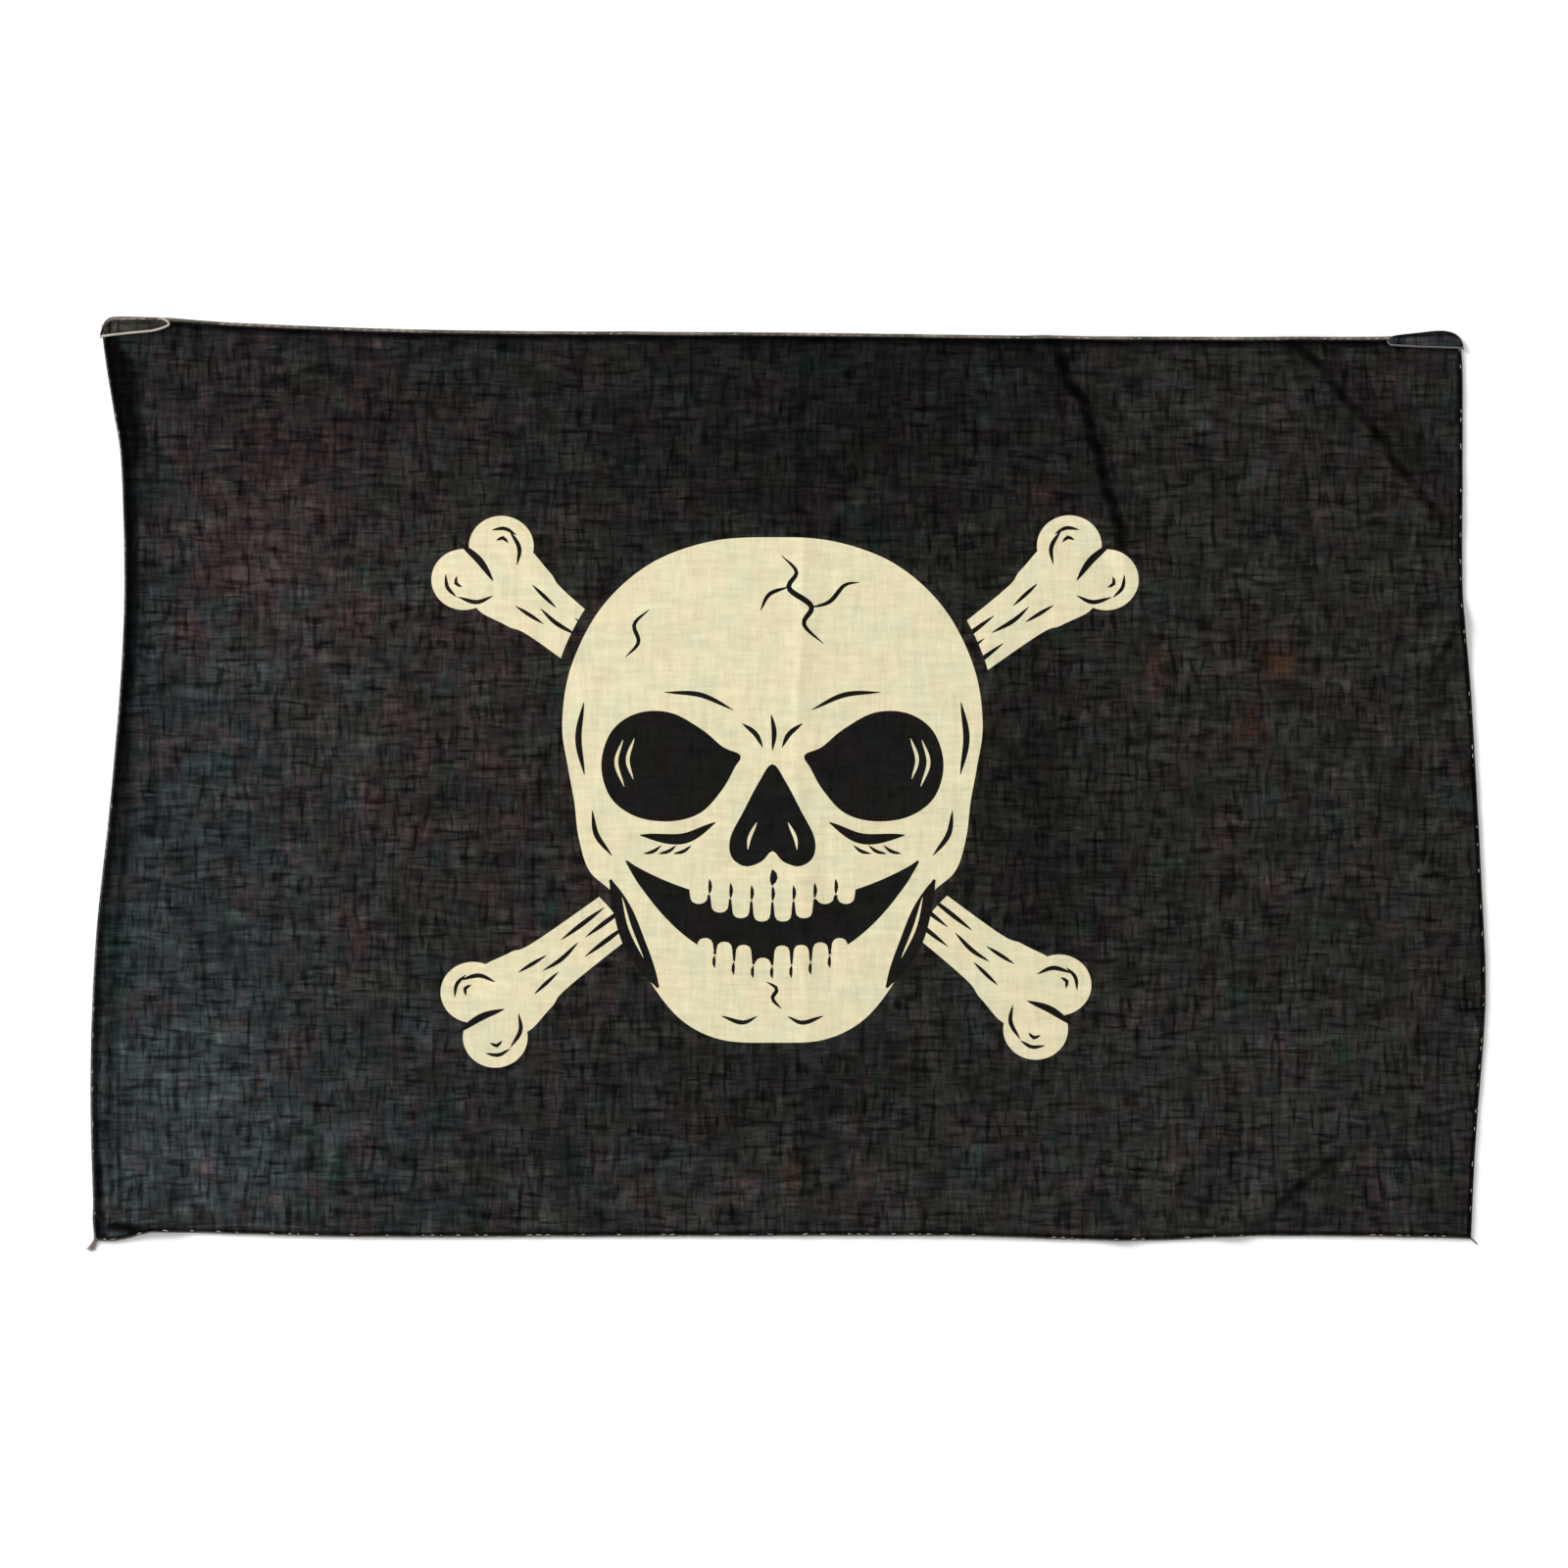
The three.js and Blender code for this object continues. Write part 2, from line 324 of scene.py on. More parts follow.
# %% The dome, the cheeks and the jaw
DARK_GAP = 4.2
HALF_SKULL = [(0, 82), (21, 80.5), (41, 73), (57, 58.5), (67, 39), (70, 20), (68, 5), (66, -6),
              (64.5, -18), (61, -29), (53.5, -36), (47.5, -44), (45, -55), (40, -67), (30, -79),
              (17, -85.3), (0, -86.3)]
skull_outline = smooth_curve(
    HALF_SKULL + [(-x, y) for x, y in HALF_SKULL[-2:0:-1]], PRINT_STEP, closed=True)
outward = left_of(np.vstack([skull_outline[-1:], skull_outline, skull_outline[:1]]))[1:-1]
shape(GROUND, (skull_outline + outward * DARK_GAP)[::3])
shape(CREAM, skull_outline, smooth=False)
print("skull:", round(float(np.ptp(skull_outline[:, 0]))), "mm wide")

# %% [markdown]
# ### The face
#
# Sockets, nose and frown are inked over the dome. Nearly all of it is the same on the left and
# on the right, so one half is given and both() mirrors it. A few thin cream glints inside the
# ink keep the large black shapes from looking like holes in the cloth.

# %% Sockets, nose and brow
SOCKET = [(10.6, 9.4), (16.5, 12.2), (23.5, 18), (34, 23.6), (45, 23.4), (53.5, 17.5), (57, 6.5),
          (54, -4.5), (45.5, -11), (34, -12.6), (24, -9.8), (16.8, -2.2), (12.6, 5.2)]
for socket in both(SOCKET):
    shape(INK, socket)
for glint in both([(49.8, 14.5), (52, 7), (49.4, -1)]) + both([(46, 15), (48.2, 8), (46.4, 1.5)]):
    stroke(CREAM, glint, 1.25)
HALF_NOSE = [(0, 6.5), (4.5, 0.5), (9.5, -9), (14, -18), (13.6, -24.5), (9, -27.6), (3.6, -26),
             (0, -22.5)]
shape(INK, HALF_NOSE + [(-x, y) for x, y in HALF_NOSE[-2:0:-1]])
for glint in both([(5.2, -13), (7.6, -18), (8.2, -22)]):
    stroke(CREAM, glint, 1.2)
for frown in both([(3.2, 12), (5.6, 16.5), (10, 20)]) + both([(13, 24.5), (24, 29.5), (36, 30.4)]):
    stroke(INK, frown, 1.7)
stroke(INK, [(0, 11), (0.6, 17), (-0.4, 23)], 1.7)
for cheek in both([(19, -13), (30, -18.4), (44, -17.2)]):
    stroke(INK, cheek, 3.6)
for temple in both([(62.8, 27), (64.6, 15), (62.6, 3)]):
    stroke(INK, temple, 2.2)
for bone_edge in both([(60, -9), (58.6, -17), (53.5, -24)]):
    stroke(INK, bone_edge, 1.8)
for step in (0, 5, 10):
    for hatch in both([(27 + step, -20.6), (29.6 + step, -22.6), (33 + step, -23.4)]):
        stroke(INK, hatch, 1.2)
stroke(INK, [(0, -28.6), (0.5, -31), (-0.2, -34)], 2.6)
print("with the face:", len(drawing), "shapes")

# %% [markdown]
# ### The grin
#
# The grin is a black band between two lips, and each lip is a curve that turns up at its ends.
# The teeth are cream pegs that stand on those curves, so they follow the smile by themselves.
# A list of heights makes them uneven.

# %% Two lips
GRIN_HALF = 49.0


def upper_lip(x):
    """How high the upper lip is, this far from the middle."""
    return -39.5 + 14.0 * (abs(x) / GRIN_HALF) ** 2.1


def lower_lip(x):
    """How high the lower lip is, this far from the middle."""
    return -60.5 + 34.0 * (abs(x) / GRIN_HALF) ** 2.4


grin_x = np.linspace(-GRIN_HALF, GRIN_HALF, 31)
grin = [(x, upper_lip(x)) for x in grin_x] + [(x, lower_lip(x)) for x in grin_x[-2:0:-1]]
shape(INK, grin)
print("mouth:", 2 * GRIN_HALF, "mm wide")

# %% Teeth on the lips
UPPER_PITCH = 7.0
LOWER_PITCH = 6.4


def teeth(lip, pitch, heights):
    """A row of teeth that stand on the lip. A height below zero grows down from it."""
    for number, height in enumerate(heights):
        x = (number - (len(heights) - 1) / 2) * pitch
        half = pitch * 0.42
        root = lip(x) - math.copysign(1.6, height)
        corner = lip(x) + height
        crown = corner + math.copysign(0.9, height)
        shape(CREAM, [(x - half, root), (x - half, (root + corner) / 2), (x - half * 0.8, corner),
                      (x, crown), (x + half * 0.8, corner), (x + half, (root + corner) / 2),
                      (x + half, root), (x, root)])


teeth(upper_lip, UPPER_PITCH, [-3.0, -4.2, -5.0, -5.6, -5.6, -5.0, -1.4, -3.0])
teeth(lower_lip, LOWER_PITCH, [3.0, 4.6, 5.2, 1.6, 5.6, 5.2, 4.4, 3.0])
for gap in range(-3, 4):
    x, y = gap * UPPER_PITCH, upper_lip(gap * UPPER_PITCH)
    stroke(INK, [(x, y + 0.2), (x + 0.3, y + 3), (x, y + 5.4)], 1.3)
    x, y = gap * LOWER_PITCH, lower_lip(gap * LOWER_PITCH)
    stroke(INK, [(x, y - 0.2), (x - 0.3, y - 2.6), (x, y - 4.6)], 1.2)
print("with the teeth:", len(drawing), "shapes")

# %% Hollow cheeks and the chin
for hollow in both([(54, -32), (50, -42), (45.6, -54), (38, -68)]):
    stroke(INK, hollow, 7.4)
for glint in both([(50.0, -38), (47.4, -48), (43.0, -58)]):
    stroke(CREAM, glint, 1.1)
for chin in both([(5, -77.5), (10, -79.6), (17, -77.4)]):
    stroke(INK, chin, 1.5)
stroke(INK, [(-2, -66), (1.5, -68.4), (0, -71.6), (3, -75)], 1.4)
print("with the cheeks and chin:", len(drawing), "shapes")

# %% [markdown]
# ### Cracks
#
# A few jagged strokes break up the dome, the largest plain patch of cream. They are brush
# strokes like the others, with sharp turns in their points.

# %% Cracks in the dome
stroke(INK, [(3, 76), (8, 70.5), (5.5, 65), (13, 59), (10.5, 53), (17, 46.5)], 1.9)
stroke(INK, [(5.5, 65.5), (-1, 63), (-4, 57.5)], 1.4)
stroke(INK, [(12.5, 58.5), (19, 60.5), (24, 66), (29, 67)], 1.5)
stroke(INK, [(-41, 58), (-46, 53), (-44.6, 47), (-49, 42)], 1.4)
print("print:", len(drawing), "shapes,", sum(len(o) for _, o in drawing), "corners")

# %% [markdown]
# ## How high the cloth lies
#
# A flag smoothed out by hand still keeps its history: the crease where it was folded in half, a
# few drag lines towards a corner, small puckers at the hem. Each one is a ridge along a line,
# steep on one side and slack on the other, because cloth leans. The ridges follow the solid's
# own folds. A cloth simulation would also make folds, but not these ones in these places, so
# they are listed one by one as a height above the table for any point of the cloth.

# %% The folds
# Each row: height, width to the left of the line, width to the right, then the line itself.
FOLDS = [
    (0.7, 9, 5, [(4, 190), (5, 80), (3, 0), (6, -80), (5, -190)]),
    (2.6, 16, 6, [(66, 186), (84, 151), (94, 133), (101, 119), (106, 99), (111, 79), (117, 52)]),
    (2.0, 14, 7, [(150, 156), (170, 146), (183, 135), (199, 119), (212, 100), (222, 76)]),
    (1.7, 10, 6, [(240, 72), (227, 57), (218, 42), (205, 30)]),
    (1.8, 7, 12, [(202, -104), (183, -119), (170, -132), (152, -146), (138, -168)]),
    (2.0, 22, 14, [(-206, 126), (-194, 106), (-176, 82), (-158, 58), (-150, 36)]),
    (1.3, 12, 7, [(-60, 176), (-52, 148), (-36, 128), (-12, 112)]),
    (2.3, 6, 9, [(-246, -140), (-230, -145), (-216, -146), (-196, -152)]),
    (1.4, 8, 10, [(112, -176), (110, -150), (100, -134), (84, -124)]),
]
CLOTH_THICKNESS = 0.36
LYING_AT = 0.12


def ridge(xy, height, left_width, right_width, points):
    """The height that one fold adds at each point."""
    line = smooth_curve(points, 5.0)
    start, run = line[:-1], np.diff(line, axis=0)
    best = np.full(len(xy), 1e9)
    side = np.zeros(len(xy))
    share = np.zeros(len(xy))
    for number, (a, r) in enumerate(zip(start, run)):
        offset = xy - a
        t = np.clip(offset @ r / (r @ r), 0, 1)
        gap = np.linalg.norm(offset - t[:, None] * r, axis=1)
        closer = gap < best
        best[closer] = gap[closer]
        side[closer] = (r[0] * offset[:, 1] - r[1] * offset[:, 0])[closer]
        share[closer] = ((number + t) / len(run))[closer]
    slack = np.clip(1 - best / np.where(side > 0, left_width, right_width), 0, 1)
    crest = 0.55 * slack**2.2 + 0.45 * (0.5 - 0.5 * np.cos(np.pi * slack))
    ends = soft_step(0, 0.3, share) * soft_step(0, 0.3, 1 - share)
    return height * crest * ends


print("folds:", len(FOLDS), "up to", max(fold[0] for fold in FOLDS), "mm")

# %% [markdown]
# ### Painted shade along the creases
#
# Each of the sharper folds above gets a darker line along it: painted shade, where shade falls
# inside the crease. They are a table like the folds, because they are used twice: first to place
# extra points in the mesh, so that a narrow line stays narrow, and later to paint the shade.

# %% Painted shade along the creases
# Each row: how dark, how wide to each side, then the line.
CREASE_SHADE_LINES = [
    (3.8, 2.5, [(58, 205), (74, 170), (85, 149), (90, 144), (93, 134), (99, 126), (101, 117),
                (104, 108), (106, 98), (109, 90), (111, 79), (113, 70), (115, 58)]),
    (0.6, 7.0, [(56, 190), (72, 158), (84, 140), (94, 120), (99, 100), (103, 80)]),
    (2.4, 2.4, [(140, 174), (160, 156), (168, 147), (179, 137), (186, 127), (195, 119),
                (203, 106), (213, 94), (224, 82)]),
    (0.5, 7.0, [(166, 156), (182, 140), (200, 120), (216, 100), (228, 80)]),
    (1.8, 1.9, [(231, 66), (225, 56), (219, 45), (214, 36)]),
    (0.7, 2.4, [(4, 180), (5, 140), (4.4, 110), (5, 92), (5, 78)]),
    (0.25, 2.0, [(5, 84), (3, 40), (3, 0), (6, -60), (5, -90)]),
    (0.5, 2.4, [(5, -92), (6, -120), (5, -160)]),
    (3.2, 2.0, [(-240, -145), (-230, -147.2), (-225, -147.8), (-220, -147.6), (-213, -149.0),
                (-200, -150.6), (-186, -151)]),
    (2.4, 1.5, [(-229.2, -122), (-228.7, -134), (-228.2, -142), (-226.4, -149)]),
    (1.3, 1.1, [(-222.9, -96), (-222.7, -118), (-222.4, -138), (-222.0, -156)]),
    (1.2, 2.2, [(190, -118), (178, -128), (166, -138), (158, -150)]),
    (0.6, 2.0, [(111, -154), (109, -146), (103, -138)]),
    (0.7, 1.8, [(-52, 154), (-48, 144), (-40, 134)]),
    (0.8, 2.6, [(164, 152), (170, 146.5), (178, 144), (186, 145)]),
    (0.7, 2.4, [(188, 152), (192, 145.5), (200, 144)]),
]
print("dark creases:", len(CREASE_SHADE_LINES))

# %% [markdown]
# ### Small wrinkles
#
# Between its folds, thin cotton is never quite flat. Wrinkles too small to plan are drawn by
# chance: short ridges with a slight bow, most of them steep or on a slant. The seed is fixed,
# so the flag is the same every time.

# %% Wrinkles too small to plan one by one
chance = np.random.default_rng(17)
WRINKLES = 64
wrinkles = []
for _ in range(WRINKLES):
    x, y = chance.uniform(-215, 215), chance.uniform(-140, 140)
    lean = math.radians(chance.choice([18, 75, 105, 150]) + chance.normal(0, 14))
    half = chance.uniform(9, 34)
    reach = np.array([math.cos(lean), math.sin(lean)]) * half
    bow = np.array([-reach[1], reach[0]]) * chance.uniform(-0.18, 0.18)
    middle = np.array([x, y])
    wrinkles.append((chance.uniform(0.12, 0.34), chance.uniform(3, 7), chance.uniform(2, 4),
                     [middle - reach, middle + bow, middle + reach]))
print("wrinkles:", len(wrinkles), "up to", round(max(w[0] for w in wrinkles), 2), "mm")

# %% [markdown]
# ### One height for any place
#
# The cloth, its stitches and its flaps all have to know how high the cloth lies at a place, so
# that is a function. It adds up a slow swell, the highest of the folds and all the wrinkles.
# The hem is kept apart, because only the upper side of the cloth has its roll. The roll is half
# round, puckers a little at every stitch, and the left side is turned under more widely.

# %% One height for every point of the cloth
SWELL = 0.45
WRINKLE_REACH = 45
TURNED_WIDTH = 5.6
TURNED_TOP = 0.34
GROOVE_DEPTH = 0.16
ROLL_MIDDLE = 0.95
HEM_TOP = 0.75
STITCH_PITCH = 3.0


def lie(xy):
    """How far the underside of the cloth is off the table at each point."""
    x, y = xy.T
    swell = 0.5 + 0.22 * np.sin(x / 31 + 1.3 * np.sin(y / 47)) + 0.18 * np.sin(y / 23 + x / 58)
    height = LYING_AT + SWELL * swell
    folded = np.zeros(len(xy))
    for fold in FOLDS:
        folded = np.maximum(folded, ridge(xy, *fold))
    for wrinkle in wrinkles:
        middle = wrinkle[3][1]
        close = np.abs(xy - middle).max(axis=1) < WRINKLE_REACH
        folded[close] += ridge(xy[close], *wrinkle)
    return height + folded


def hem_shape(xy):
    """The extra thickness of the rolled hem and the left turning, and how far in each point is."""
    inset, run = near_edge(xy)
    roll = np.sqrt(np.clip(1 - (inset - ROLL_MIDDLE) ** 2, 0, 1))
    pucker = 1 + 0.16 * np.sin(run * 2 * np.pi / STITCH_PITCH) + 0.12 * np.sin(run / 2.3)
    left = (xy[:, 0] < -190) * soft_step(-150, -120, xy[:, 1])
    turning = TURNED_TOP * soft_step(TURNED_WIDTH + 0.5, TURNED_WIDTH - 0.5, inset) * left
    groove = GROOVE_DEPTH * np.exp(-(((inset - TURNED_WIDTH - 0.8) / 0.5) ** 2)) * left
    return HEM_TOP * roll * pucker + turning - groove, inset


print("height in the middle, mm:", round(float(lie(np.zeros((1, 2)))[0]), 2))

# %% [markdown]
# ## One mesh for the whole cloth
#
# The mesh has to be fine where something happens and coarse where nothing does. A constrained
# Delaunay triangulation does that: it is given the hem's rings, an even scatter of points and
# the outline of every printed shape, and it joins them all with well-shaped triangles that never
# cross an outline. It also reports which printed shapes each triangle lies in, so the print
# falls out of the same step.

# %% Gather the rings and the printed outlines
rings = [ring(inset, 1.5) for inset in (0, 0.25, 0.5, 0.85, 1.3, 1.9, 2.6)]
rings += [ring(inset, 3.0) for inset in (4.0, TURNED_WIDTH, TURNED_WIDTH + 1)]
points = [tuple(p) for line in rings for p in line]
lines = []
first = 0
for line in rings:
    lines += [(first + i, first + (i + 1) % len(line)) for i in range(len(line))]
    first += len(line)
shapes = [list(range(len(rings[0])))]
for _, outline in drawing:
    shapes.append(list(range(len(points), len(points) + len(outline))))
    points += [tuple(p) for p in outline]
print("points on rings:", first, "on outlines:", len(points) - first)

# %% [markdown]
# ### Rows of points along the dark creases
#
# A line of painted shade that is stored at points can only be as narrow as the gaps between
# them. So each crease gets five rows of points, close together. They stay clear of the hem and
# of the printed outlines, which have points of their own.

# %% Rows along the creases
CLEAR_OF_HEM = 3.0
CLEAR_OF_PRINT = 0.8
WIDEST_ROW = 2.6


def well_inside(x, y, margin):
    """True where a point is on the cloth and at least this far from its edge."""
    left, right = side_lines["left"], side_lines["right"]
    bottom, top = side_lines["bottom"], side_lines["top"]
    across = np.interp(y, left[:, 1], left[:, 0]) + margin < x
    across &= x < np.interp(y, right[:, 1], right[:, 0]) - margin
    up = np.interp(x, bottom[:, 0], bottom[:, 1]) + margin < y
    return across & up & (y < np.interp(x, top[:, 0], top[:, 1]) - margin)


printed_tree = tree_of(points[first:])
crease_points = []
for _, wide, line in CREASE_SHADE_LINES:
    middle = smooth_curve(line, 1.4)
    for offset in (-1.0, -0.5, 0, 0.5, 1.0):
        for x, y in middle + left_of(middle) * offset * min(wide, WIDEST_ROW):
            clear = printed_tree.find((x, y, 0))[2] > CLEAR_OF_PRINT
            if clear and well_inside(x, y, CLEAR_OF_HEM):
                crease_points.append((x, y))
points += crease_points
print("points along creases:", len(crease_points))

# %% [markdown]
# ### An even scatter in between
#
# The rest of the cloth is filled with points in staggered rows, like bricks. A point that falls
# too near an outline or a crease is left out, because it would only make slivers.

# %% Scatter points over the rest
GRID = 3.1
HEM_BAND = 8
CROWDED = 1.1
crowded = tree_of(points[first:])
columns = round(FLAT_LENGTH / GRID)
rows = round(FLAT_HEIGHT / GRID)
u, v = np.meshgrid(np.arange(columns) / columns, np.arange(rows) / rows)
u = ((u + np.where(np.arange(rows) % 2, 0.5, 0)[:, None] / columns) % 1).ravel()
v = v.ravel()
inner = np.minimum(u, 1 - u) * FLAT_LENGTH > HEM_BAND
inner &= np.minimum(v, 1 - v) * FLAT_HEIGHT > HEM_BAND
for x, y in on_cloth(u[inner], v[inner]):
    if crowded.find((x, y, 0))[2] > CROWDED:
        points.append((x, y))
print("points to join:", len(points))

# %% [markdown]
# ### Join the points
#
# The triangulation is told to keep the rings and the outlines as edges. For each triangle it
# says which closed shapes it lies in, and the last of these in painting order is the one that
# shows.

# %% Join them, and read the print off the triangles
flat, _, triangles, _, _, inside = delaunay_2d_cdt(
    [Vector(p) for p in points], lines, shapes, 1, 1e-5, True)
flat = np.array([tuple(p) for p in flat])
triangles = np.array([tuple(t) for t, found in zip(triangles, inside) if found])
inside = [found for found in inside if found]
tone = np.zeros(len(triangles))
inked = np.zeros(len(triangles))
for number, found in enumerate(inside):
    last = max(found)
    if last > 0:
        tone[number] = drawing[last - 1][0] == CREAM
        inked[number] = drawing[last - 1][0] == INK
print("triangles on one face of the cloth:", len(triangles), "cream:", int(tone.sum()))

# %% [markdown]
# ### From a flat sheet to a shell
#
# The triangles so far are flat. They are lifted to the height of the cloth, copied for the
# underside, and the two are closed along the cut edge into one thin shell, so that light meets
# a cloth with two faces and not a sheet with no thickness.

# %% Lift the sheet and close its edge
RIM_TOP = 0.62
RIM_LOW = 0.25
hem_extra, inset = hem_shape(flat)
under = lie(flat)
rim = inset < 0.02
upper_side = np.column_stack([flat, under + CLOTH_THICKNESS + hem_extra])
lower_side = np.column_stack([flat, under])
upper_side[rim, 2] = under[rim] + RIM_TOP
lower_side[rim, 2] = under[rim] + RIM_LOW
count = len(flat)
vertices = np.vstack([upper_side, lower_side])
edges = np.vstack([triangles[:, [0, 1]], triangles[:, [1, 2]], triangles[:, [2, 0]]])
one_way = {tuple(e) for e in edges}
open_edges = [(a, b) for a, b in one_way if (b, a) not in one_way]
faces = [tuple(t) for t in triangles]
faces += [(c + count, b + count, a + count) for a, b, c in triangles]
faces += [(a, a + count, b + count, b) for a, b in open_edges]
face_tone = np.concatenate([tone, tone, np.zeros(len(open_edges))])
face_inked = np.concatenate([inked, inked, np.zeros(len(open_edges))])
face_back = np.concatenate([np.zeros(len(tone)), np.ones(len(tone)), np.zeros(len(open_edges))])
print("cloth shell:", len(vertices), "points", len(faces), "faces", len(open_edges), "on the rim")

# %% [markdown]
# ## The turned corners
#
# At both top corners the hem has flipped forward over the face, and shows as a small flap with
# a rolled edge. Each flap is lofted: at a handful of places along the fold, a section runs
# from the fold, up and over the cloth, to the flap's free edge. The flap is a thin closed shell
# like the cloth it belongs to, and is kept in the same mesh.

# %% Where the flaps lie
# Each row: x, then y at the fold, then y at the free edge.
LEFT_FLAP = [(-228.8, 149.6, 148.5), (-228.3, 151.6, 148.7), (-227.0, 154.2, 149.0),
             (-224.6, 155.4, 149.3), (-219.0, 155.5, 149.9), (-213.0, 155.3, 150.5),
             (-209.0, 155.1, 151.1), (-206.7, 154.2, 152.2)]
RIGHT_FLAP = [(200.4, 148.6, 146.0), (203.0, 149.3, 145.8), (210.0, 150.1, 145.4),
              (215.8, 150.7, 145.2), (219.6, 150.6, 145.1), (222.6, 149.6, 145.0),
              (224.3, 147.8, 144.9), (224.9, 146.0, 144.8)]
print("left flap:", round(LEFT_FLAP[-1][0] - LEFT_FLAP[0][0]), "mm long")
print("right flap:", round(RIGHT_FLAP[-1][0] - RIGHT_FLAP[0][0]), "mm long")

# %% Loft each flap over the cloth
FLAP_START = 0.5
FLAP_LIFT = 0.95
FLAP_THICKNESS = 0.3
FLAP_ROWS = 7
share = np.linspace(0, 1, FLAP_ROWS)


def flap_top(edges):
    """The upper surface of a flap: a grid of points, with a section from fold to free edge in
    each row."""
    sections = []
    for x, fold_y, free_y in smooth_curve(edges, 0.9):
        y = fold_y + (free_y - fold_y) * share
        arch = FLAP_LIFT * np.sin(np.pi / 2 * np.minimum(1, share * 3.2)) ** 0.7
        wave = 0.12 * np.sin(x * 0.9 + share * 4)
        place = np.column_stack([np.full(FLAP_ROWS, x), y])
        sections.append(np.column_stack([place, lie(place) + FLAP_START + arch + wave * share]))
    return np.array(sections)


flap_tops = [flap_top(LEFT_FLAP), flap_top(RIGHT_FLAP)]
print("sections:", len(flap_tops[0]), "on the left,", len(flap_tops[1]), "on the right")

# %% Close each flap into a thin shell
def shell_faces(rows, columns, first):
    """The faces of two equal grids of points, numbered one after the other, and of the rim that
    joins them."""
    size = rows * columns
    made = []
    for i in range(rows - 1):
        for j in range(columns - 1):
            a = first + i * columns + j
            quad = (a, a + 1, a + columns + 1, a + columns)
            made += [quad, tuple(q + size for q in reversed(quad))]
    steps = [(i, 0) for i in range(rows)] + [(rows - 1, j) for j in range(1, columns)]
    steps += [(i, columns - 1) for i in range(rows - 2, -1, -1)]
    steps += [(0, j) for j in range(columns - 2, 0, -1)]
    border = [first + i * columns + j for i, j in steps]
    return made + [(a, b, b + size, a + size) for a, b in zip(border, border[1:] + border[:1])]


flap_vertices = []
flap_faces = []
for top in flap_tops:
    flap_faces += shell_faces(len(top), FLAP_ROWS, len(vertices) + len(flap_vertices))
    for height in (0, -FLAP_THICKNESS):
        flap_vertices += list((top + np.array([0, 0, height])).reshape(-1, 3))
print("flaps:", len(flap_faces), "faces, up to", round(float(max(v[2] for v in flap_vertices)), 2), "mm")

# %% Add the flaps to the cloth
vertices = np.vstack([vertices, flap_vertices])
faces += flap_faces
face_tone = np.concatenate([face_tone, np.zeros(len(flap_faces))])
face_inked = np.concatenate([face_inked, np.zeros(len(flap_faces))])
face_back = np.concatenate([face_back, np.ones(len(flap_faces))])
print("the whole cloth:", len(vertices), "points", len(faces), "faces")

# %% [markdown]
# ## Wear and painted shade, written on the mesh
#
# Black dye fades unevenly: it goes grey where it was handled. Along the creases it is darkened
# by painted shade. The hem is its own small world, with a dark band where the roll meets the
# cloth, partly doubled cloth and partly painted shade of the groove, and a pale rubbed line where
# the roll takes the wear. These are broad, soft facts about places on the cloth, so they are
# stored as numbers at the mesh's points. The material reads them later. Painting them as a
# picture would work too, but numbers can be tuned by name.

# %% Where the dye has faded, and its cast
# Each row: x, y, reach across, reach up, amount. Above zero is paler, warmer or redder.
FADED = [
    (40, 128, 62, 34, -0.70), (30, 84, 70, 30, -0.28), (84, -12, 20, 62, -0.58),
    (-38, 118, 60, 34, -0.42), (5, -104, 60, 16, -0.30), (-214, 132, 26, 16, -0.25),
    (-205, -118, 62, 60, 0.68), (-190, 10, 54, 90, 0.28), (-174, 70, 24, 34, 0.22),
    (-128, 50, 40, 44, 0.16), (150, -112, 70, 40, 0.20), (-20, -136, 90, 12, 0.24),
    (124, 128, 22, 20, 0.06), (-140, -20, 40, 60, 0.06), (-150, 126, 60, 24, -0.30),
    (190, 120, 50, 40, -0.14), (30, 147, 150, 5, -0.35), (-225.3, -137, 1.9, 9, 0.9),
]
WARM = [
    (60, 20, 260, 200, 0.30), (170, 40, 90, 110, 0.50), (-100, 20, 60, 60, 0.15),
    (40, 130, 110, 26, -0.3), (-214, -30, 50, 110, -1.10), (-180, -120, 70, 50, -0.70),
    (-90, -120, 60, 30, -0.2),
    (-222, 120, 16, 40, -0.6), (-216, -120, 5, 40, -0.5),
]
RED = [
    (-176, 92, 30, 40, 1.05), (-150, 120, 60, 30, 0.5), (-112, 30, 46, 60, 0.5), (-80, -50, 40, 40, 0.35),
    (186, 108, 22, 16, 0.5), (200, 130, 18, 10, 0.4), (60, 0, 200, 160, 0.06),
    (-205, -100, 70, 80, -0.15),
]
# Above zero is a rusty fleck, below zero a greenish one.
STAINED = [
    (163, 41, 6, 7, 0.8), (155, 19, 5, 8, 0.6), (122, 40, 4, 8, 0.4), (1, -130, 3, 8, 0.6),
    (84, 96, 4, 3, 0.4), (6, 139.5, 6, 2.5, -0.8), (-150, -131, 5, 8, -0.7),
    (-158, -116, 2, 7, -0.6), (-120, -60, 9, 7, -0.3), (-224, -60, 3, 40, -0.35),
    (-86, 112, 10, 8, -0.25), (60, -128, 10, 6, -0.3),
]


def spots(xy, rows):
    """The sum of soft round patches."""
    x, y = xy.T
    total = np.zeros(len(xy))
    for px, py, rx, ry, amount in rows:
        total += amount * np.exp(-(((x - px) / rx) ** 2) - ((y - py) / ry) ** 2)
    return total


print("soft patches:", sum(len(rows) for rows in (FADED, WARM, RED, STAINED)))
